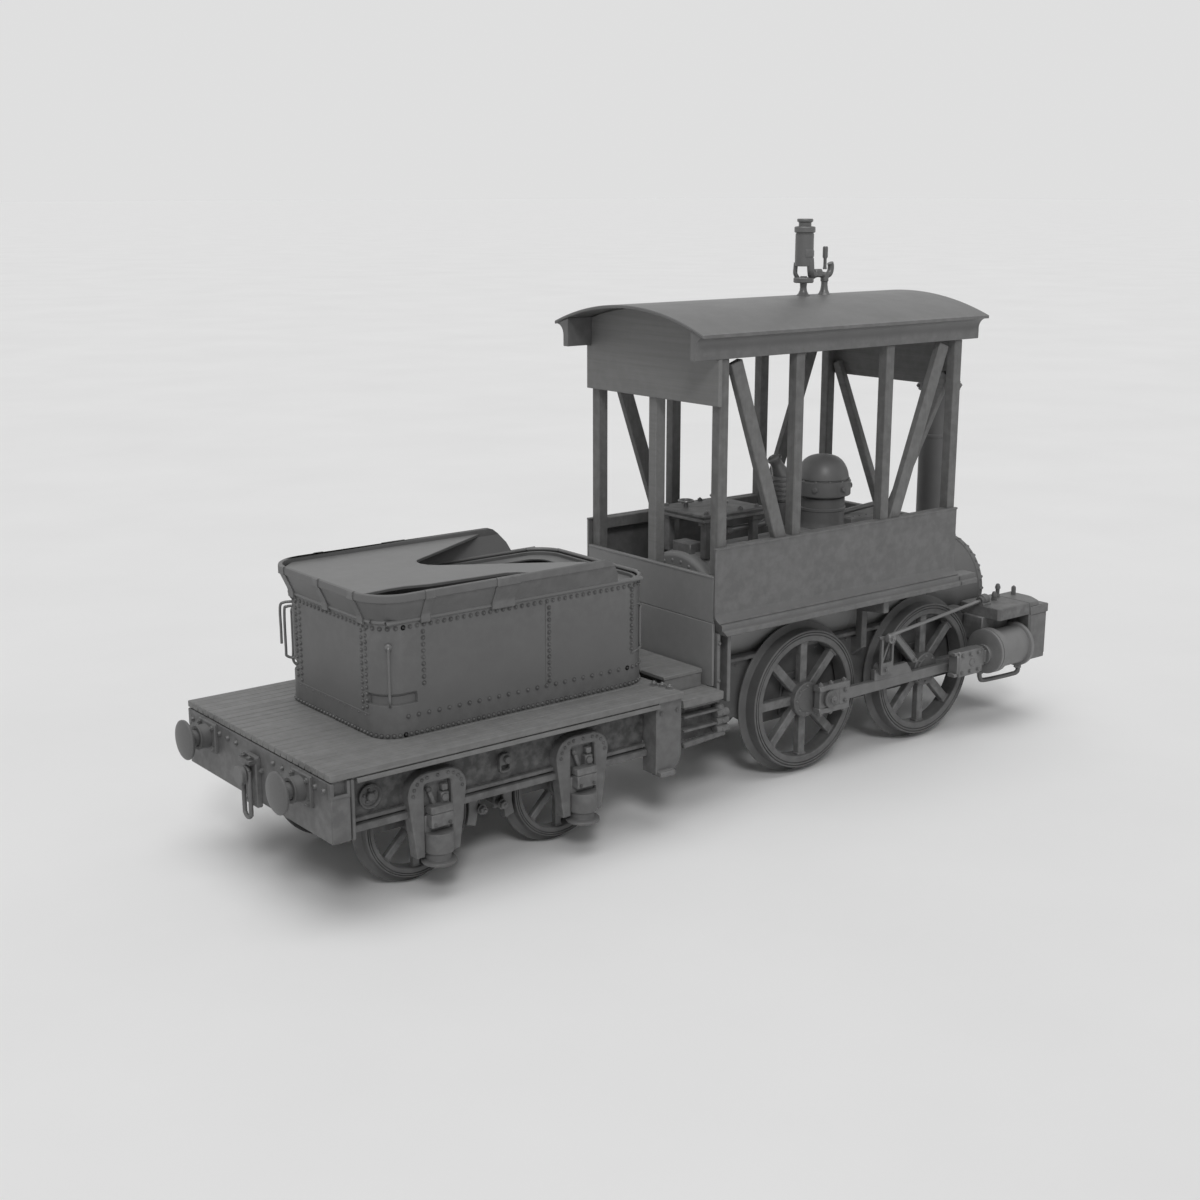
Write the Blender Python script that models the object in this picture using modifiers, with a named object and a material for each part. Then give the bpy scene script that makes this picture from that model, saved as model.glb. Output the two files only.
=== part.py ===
"""Live steam engine with a four-wheeled tender for a 5-inch garden track.

Metres, +Z up. +X is the way the engine runs, -Y is its right-hand side.
The origin is on the ground, under the middle of the whole length.
"""
import math

import bmesh
import bpy
from mathutils import Matrix, Vector

MM = 0.001
GAP = 0.3 * MM

# Which way each side of the engine lies along Y
SIDES = (("right", -1), ("left", 1))

# Engine wheels and running gear
DRIVER_X = 110.2 * MM
LEADER_X = 270.9 * MM
ENGINE_AXLE_Z = 70 * MM
ENGINE_TREAD_R = 64 * MM
ENGINE_FLANGE_R = 70 * MM
ENGINE_AXLE_R = 7 * MM
WHEEL_BACK_Y = 59.5 * MM
ENGINE_WHEEL_FACE_Y = 76 * MM
CRANK_THROW = 18 * MM
CRANK_PIN_R = 5 * MM
ROD_LENGTH = 181.8 * MM
ROD_IN_Y = 79.6 * MM
ROD_OUT_Y = 88.6 * MM
CYLINDER_Y = 93 * MM
CYLINDER_Z = 77 * MM
CYLINDER_BACK_X = 337.5 * MM
CYLINDER_FRONT_X = 388 * MM
BARREL_Z = 79.5 * MM
BARREL_R = 19 * MM
BARREL_FLANGE_R = 22 * MM
BORE_R = 12.5 * MM
LINK_X = 197 * MM
LINK_PIVOT_Z = 86 * MM
VALVE_ROD_REAR = (192 * MM, 97.6 * MM, 120 * MM)
VALVE_ROD_FRONT = (344 * MM, 75.6 * MM, 124.8 * MM)

# Engine frame
FRAME_IN_Y = 52.2 * MM
FRAME_OUT_Y = 56.7 * MM
FRAME_REAR_X = -48 * MM
FRAME_FRONT_X = 395.5 * MM
BEAM_FRONT_X = 423.6 * MM
BEAM_HALF = 100 * MM
PLATFORM_LOW = 108.8 * MM
PLATFORM_TOP = 120.8 * MM
FOOTPLATE_TOP = 107.5 * MM

# Cab
CAB_REAR_X = -13.6 * MM
CAB_FRONT_X = 292.3 * MM
CAB_HALF = 87.8 * MM
SILL_LOW = 152.5 * MM
SILL_TOP = 165.7 * MM
WAIST_Z = 227.2 * MM
REAR_PANEL_TOP = 202.8 * MM
POST = 10 * MM
POST_OUT_Y = 85 * MM
POST_XS = (-9.3 * MM, 78 * MM, 190 * MM, 281.5 * MM)
BRACE_WIDTH = 13 * MM
RAIL_LOW = 384.5 * MM
ROOF_REAR_X = -41.2 * MM
ROOF_FRONT_X = 311.1 * MM
ROOF_HALF = 98.6 * MM
ROOF_CROWN = 424.6 * MM
ROOF_EAVE = 406 * MM
ROOF_SHEET = 3 * MM

# Boiler and what stands on it
BOILER_REAR_X = 19 * MM
BOILER_R = 58 * MM
BOILER_Z = 148 * MM
SMOKEBOX_R = 50 * MM
SMOKEBOX_Z = 128 * MM
SMOKEBOX_REAR_X = 300 * MM
SMOKEBOX_FRONT_X = 384 * MM
FIREHOLE_Z = 124 * MM
CHIMNEY_X = 362 * MM
DOME_X = 201 * MM
VALVE_X = 142 * MM
WHISTLE_X = 168 * MM
PEDESTAL_PIPE_X = 195 * MM

# Tender
DECK_REAR_X = -399 * MM
DECK_FRONT_X = -70.7 * MM
DECK_HALF = 115 * MM
DECK_LOW = 114.4 * MM
DECK_TOP = 120.6 * MM
TENDER_AXLE_XS = (("rear", -302 * MM), ("front", -165.5 * MM))
TENDER_AXLE_Z = 51 * MM
TENDER_TREAD_R = 45 * MM
TENDER_FLANGE_R = 51 * MM
FLANGE_WIDTH = 4 * MM
TENDER_WHEEL_FACE_Y = 72 * MM
JOURNAL_R = 5 * MM
BUFFER_Y = 76 * MM
BUFFER_Z = 101.5 * MM
DRAW_PIN_X = -64 * MM
HOOK_Z = 92 * MM
TANK_REAR_X = -331.4 * MM
TANK_FRONT_X = -71 * MM
TANK_HALF = 74.5 * MM
TANK_REAR_R = 20 * MM
TANK_FRONT_R = 27 * MM
TANK_TOP = 209 * MM
COPING_TOP = 233 * MM
COPING_FLARE = 9.3 * MM

# Colour, roughness and metallic value of each kind of finish
FINISHES = {
    "paint": ((0.14, 0.14, 0.14), 0.5, 0.0),
    "dark_paint": ((0.125, 0.125, 0.125), 0.55, 0.0),
    "timber": ((0.16, 0.16, 0.158), 0.7, 0.0),
    "steel": ((0.15, 0.15, 0.15), 0.4, 0.25),
    "iron": ((0.13, 0.13, 0.13), 0.55, 0.1),
}

for old in list(bpy.data.objects):
    bpy.data.objects.remove(old, do_unlink=True)

scene = bpy.context.scene
parts = bpy.data.collections.new("live_steam_engine")
scene.collection.children.link(parts)


# Modelling helpers
def as_object(mesh):
    """A loose object for a mesh, linked so that its modifiers can be worked out."""
    obj = bpy.data.objects.new("piece", mesh)
    scene.collection.objects.link(obj)
    return obj


def baked(obj):
    """The object's mesh with its modifiers or curve settings worked out."""
    bpy.context.view_layer.update()
    graph = bpy.context.evaluated_depsgraph_get()
    return bpy.data.meshes.new_from_object(obj.evaluated_get(graph))


def tidy(mesh, matrix=None):
    """Weld a mesh, turn its faces outwards and place it."""
    work = bmesh.new()
    work.from_mesh(mesh)
    if matrix is not None:
        bmesh.ops.transform(work, matrix=matrix, verts=work.verts)
    bmesh.ops.remove_doubles(work, verts=work.verts, dist=1e-6)
    bmesh.ops.recalc_face_normals(work, faces=work.faces)
    work.to_mesh(mesh)
    work.free()
    return mesh


def box(low, high):
    """A block between two opposite corners."""
    low_v = Vector(low)
    high_v = Vector(high)
    size = Vector([abs(h - l) for h, l in zip(high_v, low_v)])
    place = Matrix.Translation((low_v + high_v) / 2) @ Matrix.Diagonal(size).to_4x4()
    work = bmesh.new()
    bmesh.ops.create_cube(work, size=1.0, matrix=place)
    mesh = bpy.data.meshes.new("box")
    work.to_mesh(mesh)
    work.free()
    return as_object(tidy(mesh))


def bar(start, end, width, depth):
    """A straight bar between two points in an X-Z or Y-Z plane: width in that plane, depth across it."""
    start_v = Vector(start)
    end_v = Vector(end)
    along = (end_v - start_v).normalized()
    across = Vector((0, 1, 0)) if abs(along.y) < 1e-6 else Vector((1, 0, 0))
    side = along.cross(across)
    turn = Matrix((along, side, across)).transposed().to_4x4()
    size = Matrix.Diagonal(((end_v - start_v).length, width, depth)).to_4x4()
    work = bmesh.new()
    bmesh.ops.create_cube(work, size=1.0, matrix=Matrix.Translation((start_v + end_v) / 2) @ turn @ size)
    mesh = bpy.data.meshes.new("bar")
    work.to_mesh(mesh)
    work.free()
    return as_object(tidy(mesh))


def rod(start, end, radius, sides=16, end_radius=None):
    """A round bar, or a taper, between two points."""
    start_v = Vector(start)
    end_v = Vector(end)
    along = end_v - start_v
    turn = along.to_track_quat("Z", "Y").to_matrix().to_4x4()
    work = bmesh.new()
    bmesh.ops.create_cone(
        work,
        cap_ends=True,
        segments=sides,
        radius1=radius,
        radius2=radius if end_radius is None else end_radius,
        depth=along.length,
        matrix=Matrix.Translation((start_v + end_v) / 2) @ turn,
    )
    mesh = bpy.data.meshes.new("rod")
    work.to_mesh(mesh)
    work.free()
    return as_object(tidy(mesh))


def plate(outline, low, high, plane, holes=()):
    """A flat outline with holes, made thick between low and high across its plane."""
    curve = bpy.data.curves.new("outline", "CURVE")
    curve.dimensions = "2D"
    curve.fill_mode = "BOTH"
    curve.extrude = abs(high - low) / 2
    for loop in (outline, *holes):
        spline = curve.splines.new("POLY")
        spline.points.add(len(loop) - 1)
        spline.use_cyclic_u = True
        for point, (u, v) in zip(spline.points, loop):
            point.co = (u, v, 0, 1)
    guide = as_object(curve)
    mesh = baked(guide)
    bpy.data.objects.remove(guide, do_unlink=True)
    axes = {
        "XY": Matrix(((1, 0, 0), (0, 1, 0), (0, 0, 1))),
        "XZ": Matrix(((1, 0, 0), (0, 0, 1), (0, 1, 0))),
        "YZ": Matrix(((0, 0, 1), (1, 0, 0), (0, 1, 0))),
    }
    normal = {"XY": (0, 0, 1), "XZ": (0, 1, 0), "YZ": (1, 0, 0)}[plane]
    middle = Vector(normal) * ((low + high) / 2)
    return as_object(tidy(mesh, Matrix.Translation(middle) @ axes[plane].to_4x4()))


def turned(profile, sides, centre, axis="Z", ring=False, half_step=False):
    """A turned shape: (radius, height) from top to bottom on its outer side, about an axis at the centre."""
    mesh = bpy.data.meshes.new("profile")
    count = len(profile)
    edges = [(i, i + 1) for i in range(count - 1)]
    if ring:
        edges.append((count - 1, 0))
    mesh.from_pydata([(r, 0, h) for r, h in profile], edges, [])
    obj = as_object(mesh)
    screw = obj.modifiers.new("turn", "SCREW")
    screw.steps = sides
    screw.render_steps = sides
    screw.use_merge_vertices = True
    screw.merge_threshold = 0.00001
    result = baked(obj)
    bpy.data.objects.remove(obj, do_unlink=True)
    turn = Matrix.Rotation(math.pi / sides if half_step else 0, 4, "Z")
    if axis == "X":
        turn = Matrix.Rotation(math.pi / 2, 4, "Y") @ turn
    if axis == "Y":
        turn = Matrix.Rotation(-math.pi / 2, 4, "X") @ turn
    return as_object(tidy(result, Matrix.Translation(centre) @ turn))


def loft(rings):
    """A solid through rings of points that all have the same count, closed at both ends."""
    work = bmesh.new()
    loops = [[work.verts.new(point) for point in ring] for ring in rings]
    count = len(loops[0])
    for first, second in zip(loops, loops[1:]):
        for i in range(count):
            j = (i + 1) % count
            work.faces.new((first[i], first[j], second[j], second[i]))
    work.faces.new(loops[0])
    work.faces.new(loops[-1])
    mesh = bpy.data.meshes.new("loft")
    work.to_mesh(mesh)
    work.free()
    return as_object(tidy(mesh))


def combine(base, others, operation):
    """Work out a Boolean on the base with each of the others, and drop the others."""
    for other in others:
        step = base.modifiers.new("combine", "BOOLEAN")
        step.operation = operation
        step.solver = "EXACT"
        step.object = other
        mesh = baked(base)
        base.modifiers.clear()
        base.data = tidy(mesh)
        bpy.data.objects.remove(other, do_unlink=True)
    return base


def fuse(base, *others):
    return combine(base, others, "UNION")


def cut(base, *others):
    return combine(base, others, "DIFFERENCE")


def arc(centre_u, centre_v, radius, start_deg, end_deg, steps):
    """Points along an arc in a flat outline."""
    points = []
    for i in range(steps + 1):
        angle = math.radians(start_deg + (end_deg - start_deg) * i / steps)
        points.append((centre_u + radius * math.cos(angle), centre_v + radius * math.sin(angle)))
    return points


def circle(centre_u, centre_v, radius, sides):
    return arc(centre_u, centre_v, radius, 0, 360, sides)[:-1]


def round_box(low_u, high_u, low_v, high_v, radius, steps=4):
    """A rectangle outline with rounded corners."""
    return (
        arc(high_u - radius, high_v - radius, radius, 0, 90, steps)
        + arc(low_u + radius, high_v - radius, radius, 90, 180, steps)
        + arc(low_u + radius, low_v + radius, radius, 180, 270, steps)
        + arc(high_u - radius, low_v + radius, radius, 270, 360, steps)
    )


def finish(name, kind):
    """A material of the part's own, from the kind of finish."""
    colour, roughness, metallic = FINISHES[kind]
    material = bpy.data.materials.new(name + "_finish")
    material.use_nodes = True
    shader = material.node_tree.nodes["Principled BSDF"]
    shader.inputs["Base Color"].default_value = (*colour, 1)
    shader.inputs["Roughness"].default_value = roughness
    shader.inputs["Metallic"].default_value = metallic
    return material


def empty(name, place, parent=None):
    """A pivot that carries the pieces of one moving body."""
    pivot = bpy.data.objects.new(name, None)
    parts.objects.link(pivot)
    pivot.empty_display_size = 0.02
    pivot.location = place
    if parent is not None:
        pivot.parent = parent
        pivot.location = Vector(place) - world_place(parent)
    return pivot


def world_place(obj):
    """Where an unrotated chain of parents puts an object."""
    place = Vector(obj.location)
    while obj.parent is not None:
        obj = obj.parent
        place += obj.location
    return place


def node(name, obj, kind, parent):
    """Name a finished piece, give it its material and hang it on its body's pivot."""
    origin = world_place(parent)
    obj.data.transform(Matrix.Translation(-origin))
    obj.name = name
    obj.data.name = name
    obj.data.materials.clear()
    obj.data.materials.append(finish(name, kind))
    obj.data.shade_smooth()
    obj.data.set_sharp_from_angle(angle=math.radians(32))
    obj.parent = parent
    scene.collection.objects.unlink(obj)
    parts.objects.link(obj)
    return obj


# Bodies: an empty on each joint's axis
engine = empty("engine", (0, 0, 0))
tender = empty("tender", (DRAW_PIN_X, 0, HOOK_Z), engine)


# Engine frame
def main_frame(side):
    """A deep plate with axle holes and a bracket that holds up the cab sill."""
    outline = [
        (FRAME_REAR_X, 62 * MM),
        (FRAME_REAR_X, 100 * MM),
        (-2 * MM, 100 * MM),
        (4 * MM, 115 * MM),
        (340 * MM, 115 * MM),
        (347 * MM, 108.5 * MM),
        (FRAME_FRONT_X, 108.5 * MM),
        (FRAME_FRONT_X, 66 * MM),
        (345 * MM, 66 * MM),
        (335 * MM, 50 * MM),
        (60 * MM, 50 * MM),
        (40 * MM, 62 * MM),
    ]
    holes = [circle(x, ENGINE_AXLE_Z, ENGINE_AXLE_R + 2 * MM, 16) for x in (DRIVER_X, LEADER_X)]
    body = plate(outline, side * FRAME_IN_Y, side * FRAME_OUT_Y, "XZ", holes)
    bracket_x = (187 * MM, 194 * MM)
    bracket_outline = [
        (side * 54 * MM, 92 * MM),
        (side * 70 * MM, 104 * MM),
        (side * 70 * MM, 139 * MM),
        (side * 96 * MM, 142 * MM),
        (side * 96 * MM, SILL_LOW - GAP),
        (side * 62 * MM, SILL_LOW - GAP),
        (side * 62 * MM, 113 * MM),
        (side * 54 * MM, 111 * MM),
    ]
    return fuse(body, plate(bracket_outline, bracket_x[0], bracket_x[1], "YZ"))


for side_name, side in SIDES:
    node("main_frame_" + side_name, main_frame(side), "dark_paint", engine)

beam_outline = [
    (-BEAM_HALF, 117 * MM),
    (-BEAM_HALF, 66 * MM),
    (-BEAM_HALF + 5 * MM, 61 * MM),
    (BEAM_HALF - 5 * MM, 61 * MM),
    (BEAM_HALF, 66 * MM),
    (BEAM_HALF, 117 * MM),
    (56 * MM, 117 * MM),
    (56 * MM, 80 * MM),
    (-56 * MM, 80 * MM),
    (-56 * MM, 117 * MM),
]
front_beam = plate(beam_outline, FRAME_FRONT_X + GAP, BEAM_FRONT_X, "YZ")
for side_name, side in SIDES:
    tread_outline = [
        (FRAME_FRONT_X + GAP, side * 56 * MM),
        (FRAME_FRONT_X + GAP, side * BEAM_HALF),
        (410 * MM, side * BEAM_HALF),
        (419 * MM, side * 82 * MM),
        (419 * MM, side * 56 * MM),
    ]
    front_beam = fuse(front_beam, plate(tread_outline, 112 * MM, PLATFORM_TOP, "XY"))
node("front_beam", front_beam, "paint", engine)

footplate = box((-58 * MM, -100 * MM, 100.5 * MM), (-12.8 * MM, 100 * MM, FOOTPLATE_TOP))
node("footplate", footplate, "timber", engine)
step_box = box((-60 * MM, -77 * MM, FOOTPLATE_TOP + GAP), (-17 * MM, 77 * MM, 122 * MM))
node("step_box", step_box, "timber", engine)

# Drawbar: a stretcher between the frame plates, a tongue and an upright pin
drawbar = fuse(
    box((-34 * MM, -51.8 * MM, 78 * MM), (-16 * MM, 51.8 * MM, 99 * MM)),
    box((-71 * MM, -9 * MM, 82 * MM), (-20 * MM, 9 * MM, 89 * MM)),
    rod((DRAW_PIN_X, 0, 85 * MM), (DRAW_PIN_X, 0, 99 * MM), 4 * MM, 16),
)
node("drawbar", drawbar, "iron", engine)


# Cylinders with their steam chests
def valve_line(side):
    """Where the valve rod starts at the link and where it enters the chest."""
    to_side = Vector((1, side, 1))
    return Vector(VALVE_ROD_REAR) * to_side, Vector(VALVE_ROD_FRONT) * to_side


def cylinder(side):
    length = CYLINDER_FRONT_X - CYLINDER_BACK_X
    profile = [
        (0, length),
        (BARREL_FLANGE_R, length),
        (BARREL_FLANGE_R, length - 4.5 * MM),
        (BARREL_R, length - 4.5 * MM),
        (BARREL_R, 11.5 * MM),
        (BARREL_FLANGE_R, 11.5 * MM),
        (BARREL_FLANGE_R, 0),
        (0, 0),
    ]
    middle_y = side * CYLINDER_Y
    barrel = turned(profile, 24, (CYLINDER_BACK_X, middle_y, BARREL_Z), "X", half_step=True)
    chest = box((346 * MM, side * 58 * MM, 86 * MM), (386 * MM, side * 82 * MM, 110 * MM))
    cover = box((349.3 * MM, side * 51.5 * MM, PLATFORM_LOW), (395.2 * MM, side * 100 * MM, PLATFORM_TOP))
    gland = box((349 * MM, side * 69 * MM, 116 * MM), (361 * MM, side * 80 * MM, 130 * MM))
    body = fuse(barrel, chest, cover, gland)
    start, end = valve_line(side)
    along = (end - start).normalized()
    bore = rod(
        (CYLINDER_BACK_X + 3 * MM, middle_y, CYLINDER_Z),
        (CYLINDER_FRONT_X - 3 * MM, middle_y, CYLINDER_Z),
        BORE_R,
        16,
    )
    neck = rod(
        (CYLINDER_BACK_X - 5 * MM, middle_y, CYLINDER_Z),
        (CYLINDER_BACK_X + 5 * MM, middle_y, CYLINDER_Z),
        3.6 * MM,
        12,
    )
    gland_hole = rod(end - along * 5 * MM, end + along * 24 * MM, 2.1 * MM, 10)
    return cut(body, neck, bore, gland_hole)


for side_name, side in SIDES:
    node("cylinder_" + side_name, cylinder(side), "iron", engine)

# Cab base: stepped sills, a rear cross sill and the corner uprights
def sill(side):
    outline = [
        (side * 80 * MM, SILL_LOW),
        (side * 98 * MM, SILL_LOW),
        (side * 98 * MM, 157.5 * MM),
        (side * 95.6 * MM, 158.5 * MM),
        (side * 95.6 * MM, 162.5 * MM),
        (side * 88.3 * MM, SILL_TOP),
        (side * 80 * MM, SILL_TOP),
    ]
    return plate(outline, -10.3 * MM, 315 * MM, "YZ")


cab_base = fuse(
    sill(-1),
    box((-10.3 * MM, -82 * MM, SILL_LOW), (-2 * MM, 82 * MM, SILL_TOP)),
    sill(1),
    box((-10.3 * MM, -88 * MM, 92 * MM), (5 * MM, -76 * MM, 156 * MM)),
    box((-10.3 * MM, 76 * MM, 92 * MM), (5 * MM, 88 * MM, 156 * MM)),
)
node("cab_base", cab_base, "paint", engine)

for side_name, side in SIDES:
    panel = box(
        (CAB_REAR_X, side * (POST_OUT_Y + GAP), SILL_TOP + GAP),
        (CAB_FRONT_X, side * CAB_HALF, WAIST_Z),
    )
    node("cab_side_panel_" + side_name, panel, "paint", engine)

rear_panel = box(
    (CAB_REAR_X, -POST_OUT_Y, FOOTPLATE_TOP + GAP),
    (-10.6 * MM, POST_OUT_Y, REAR_PANEL_TOP),
)
node("cab_rear_panel", rear_panel, "paint", engine)


# Cab side frames: posts, waist rail and raking braces
def side_frame(side):
    low = SILL_TOP + GAP
    high = RAIL_LOW - GAP
    in_y = side * (POST_OUT_Y - POST)
    out_y = side * POST_OUT_Y
    posts = [box((x, in_y, low), (x + POST, out_y, high)) for x in POST_XS]
    rail = box(
        (POST_XS[0] + 2 * MM, side * 77 * MM, 217 * MM),
        (POST_XS[3] + 8 * MM, side * 84.5 * MM, 227 * MM),
    )
    brace_y = side * 80.5 * MM
    rear_brace = bar((10 * MM, brace_y, 381 * MM), (67 * MM, brace_y, 222 * MM), BRACE_WIDTH, 7 * MM)
    front_brace = bar((268 * MM, brace_y, 381 * MM), (208 * MM, brace_y, 222 * MM), BRACE_WIDTH, 7 * MM)
    return fuse(rail, *posts, rear_brace, front_brace)


for side_name, side in SIDES:
    node("cab_side_frame_" + side_name, side_frame(side), "timber", engine)

# The roof is part of a wide circle
ROOF_RISE = ROOF_CROWN - ROOF_EAVE
ROOF_R = (ROOF_HALF**2 + ROOF_RISE**2) / (2 * ROOF_RISE)


def roof_z(y, under=0.0):
    """Height of the roof's upper side at a place across it, less a depth."""
    return ROOF_CROWN - ROOF_R + math.sqrt(ROOF_R**2 - y**2) - under


def arched_board(low, half):
    """A board that fills the arch under the roof, stepped in between the cant rails."""
    inner = min(half, 81.2 * MM)
    steps = 12
    top = []
    for i in range(steps + 1):
        y = inner - 2 * inner * i / steps
        top.append((y, roof_z(y, ROOF_SHEET + 0.6 * MM)))
    right = [(-half, low)]
    left = [(half, low)]
    if half > inner:
        right = [(-inner, RAIL_LOW - GAP), (-half, RAIL_LOW - GAP), (-half, low)]
        left = [(half, low), (half, RAIL_LOW - GAP), (inner, RAIL_LOW - GAP)]
    return top + right + left


rear_frame = fuse(
    plate(arched_board(346 * MM, CAB_HALF), CAB_REAR_X, -9.6 * MM, "YZ"),
    box((-10.3 * MM, -5 * MM, SILL_TOP + GAP), (0.7 * MM, 5 * MM, 398 * MM)),
)
node("cab_rear_frame", rear_frame, "timber", engine)

brace_x = 289.5 * MM
front_frame = fuse(
    plate(arched_board(340 * MM, 77 * MM), 291.8 * MM, 296.5 * MM, "YZ"),
    box((286 * MM, -74.6 * MM, 203 * MM), (293 * MM, 74.6 * MM, 213 * MM)),
    bar((brace_x, -70 * MM, 352 * MM), (brace_x, -4 * MM, 208 * MM), 9 * MM, 7 * MM),
    bar((brace_x, 70 * MM, 352 * MM), (brace_x, 4 * MM, 208 * MM), 9 * MM, 7 * MM),
)
node("cab_front_frame", front_frame, "timber", engine)


def cant_rail(side):
    """A coved rail under the eave."""
    cove = arc(97.5 * MM, 393.5 * MM, 9.5 * MM, 180, 98, 4)
    outline = [(81.5 * MM, RAIL_LOW), (88 * MM, RAIL_LOW), *cove, (97 * MM, 405 * MM), (81.5 * MM, 409 * MM)]
    return plate([(side * y, z) for y, z in outline], -39.6 * MM, 310.1 * MM, "YZ")


roof_steps = 16
roof_ys = [ROOF_HALF - 2 * ROOF_HALF * i / roof_steps for i in range(roof_steps + 1)]
roof_outline = [(y, roof_z(y)) for y in roof_ys] + [(y, roof_z(y, ROOF_SHEET)) for y in reversed(roof_ys)]
roof = fuse(plate(roof_outline, ROOF_REAR_X, ROOF_FRONT_X, "YZ"), cant_rail(-1), cant_rail(1))
node("roof", roof, "paint", engine)


# Boiler: a level firebox barrel, a taper, then a drum for the smokebox
def ring_at(x, radius, z, sides=24):
    points = []
    for i in range(sides):
        angle = 2 * math.pi * (i + 0.5) / sides
        points.append((x, radius * math.cos(angle), z + radius * math.sin(angle)))
    return points


boiler = loft(
    [
        ring_at(BOILER_REAR_X, BOILER_R - 4 * MM, BOILER_Z),
        ring_at(BOILER_REAR_X + 4 * MM, BOILER_R, BOILER_Z),
        ring_at(190 * MM, BOILER_R, BOILER_Z),
        ring_at(284 * MM, 49 * MM, SMOKEBOX_Z + 1 * MM),
        ring_at(SMOKEBOX_REAR_X - GAP, 49 * MM, SMOKEBOX_Z + 1 * MM),
    ]
)
node("boiler", boiler, "dark_paint", engine)

drum_length = SMOKEBOX_FRONT_X - SMOKEBOX_REAR_X
drum_profile = [
    (SMOKEBOX_R - 4 * MM, drum_length),
    (SMOKEBOX_R, drum_length),
    (SMOKEBOX_R, 0),
    (0, 0),
    (0, 5 * MM),
    (SMOKEBOX_R - 4 * MM, 5 * MM),
]
smokebox = turned(drum_profile, 24, (SMOKEBOX_REAR_X, 0, SMOKEBOX_Z), "X", ring=True, half_step=True)
flue = rod((CHIMNEY_X, 0, 160 * MM), (CHIMNEY_X, 0, 190 * MM), 12 * MM, 16)
node("smokebox", cut(smokebox, flue), "dark_paint", engine)


def seated(obj, radius, z):
    """Cut the foot of a fitting to sit on a round barrel that lies along X."""
    rings = [ring_at(x, radius + GAP, z) for x in (0, 400 * MM)]
    return cut(obj, loft(rings))


def fitting(profile, sides, x, ring=False):
    return turned([(r * MM, z * MM) for r, z in profile], sides, (x, 0, 0), "Z", ring)


chimney = fitting(
    [
        (13, 398),
        (18.5, 398),
        (18.5, 392),
        (17.5, 389),
        (17.5, 334),
        (20.5, 334),
        (20.5, 325),
        (17.5, 325),
        (17.5, 192),
        (23, 181),
        (23, 168),
        (13, 168),
    ],
    20,
    CHIMNEY_X,
    ring=True,
)
node("chimney", seated(chimney, SMOKEBOX_R, SMOKEBOX_Z), "dark_paint", engine)

dome = fitting(
    [
        (0, 276),
        (8, 275.4),
        (14.5, 273),
        (19.5, 268.5),
        (23, 262),
        (24.6, 255),
        (24.6, 249.3),
        (26.5, 249.3),
        (26.5, 235),
        (21, 235),
        (21, 212),
        (25, 203),
        (25, 195),
        (0, 195),
    ],
    20,
    DOME_X,
)
node("dome", seated(dome, BOILER_R, BOILER_Z), "paint", engine)

safety_valve = fitting(
    [(0, 262), (6.5, 262), (10, 270), (11, 270), (7, 255), (6, 240), (9, 238), (9, 231), (6, 229), (6, 215),
     (10, 213), (10, 198), (0, 198)],
    16,
    VALVE_X,
)
node("safety_valve", seated(safety_valve, BOILER_R, BOILER_Z), "steel", engine)

manifold = box((22 * MM, -32 * MM, 235.5 * MM), (98 * MM, 32 * MM, 242.5 * MM))
for leg_x in (28 * MM, 85 * MM):
    for leg_y in (-28 * MM, 21 * MM):
        leg = box((leg_x, leg_y, 202.4 * MM), (leg_x + 7 * MM, leg_y + 7 * MM, 239 * MM))
        manifold = fuse(manifold, leg)
node("steam_manifold", manifold, "iron", engine)

# Whistle on the roof: bell on a stem, with a side arm to a second stem
stem = fitting(
    [(0, 493), (7.3, 493), (7.3, 491), (5.7, 490), (5.7, 486), (9.5, 486), (9.5, 481), (8.4, 481), (8.4, 451),
     (3.2, 451), (3.2, 441), (9, 440), (9, 436), (2.8, 435), (2.8, 431), (6.5, 425), (0, 425)],
    16,
    WHISTLE_X,
)
arm = rod((WHISTLE_X, 0, 443 * MM), (204 * MM, 0, 443 * MM), 3.6 * MM, 10)
second = fitting([(0, 444), (2.8, 444), (2.8, 431), (6, 425), (0, 425)], 12, PEDESTAL_PIPE_X)
hook = rod((202 * MM, 0, 441 * MM), (202 * MM, 0, 453 * MM), 2.2 * MM, 8)
node("whistle", fuse(stem, arm, second, hook), "steel", engine)

whistle_pivot = empty("whistle_lever_pivot", (PEDESTAL_PIPE_X, 0, 448 * MM), engine)
lever = turned(
    [(0, 20 * MM), (1.6 * MM, 20 * MM), (2.4 * MM, 17 * MM), (1.5 * MM, 14 * MM), (1.5 * MM, 2 * MM),
     (1.9 * MM, -0.5 * MM), (0, -0.5 * MM)],
    10,
    (PEDESTAL_PIPE_X, 0, 448 * MM),
)
node("whistle_lever", lever, "steel", whistle_pivot)

# Smokebox door on a hinge at its left edge
door_hinge = (388 * MM, 46 * MM, SMOKEBOX_Z)
door_pivot = empty("smokebox_door_pivot", door_hinge, engine)
door_profile = [
    (0, 7.5 * MM),
    (16 * MM, 6.6 * MM),
    (32 * MM, 4 * MM),
    (43 * MM, 2.5 * MM),
    (43 * MM, 0),
    (0, 0),
]
door = fuse(
    turned(door_profile, 24, (SMOKEBOX_FRONT_X + GAP, 0, SMOKEBOX_Z), "X", half_step=True),
    bar((388.2 * MM, 12 * MM, 142 * MM), (388.2 * MM, 47 * MM, 142 * MM), 5 * MM, 3 * MM),
    bar((388.2 * MM, 12 * MM, 114 * MM), (388.2 * MM, 47 * MM, 114 * MM), 5 * MM, 3 * MM),
    rod((386 * MM, 0, SMOKEBOX_Z), (394.6 * MM, 0, SMOKEBOX_Z), 4 * MM, 10),
)
node("smokebox_door", door, "dark_paint", door_pivot)

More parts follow.
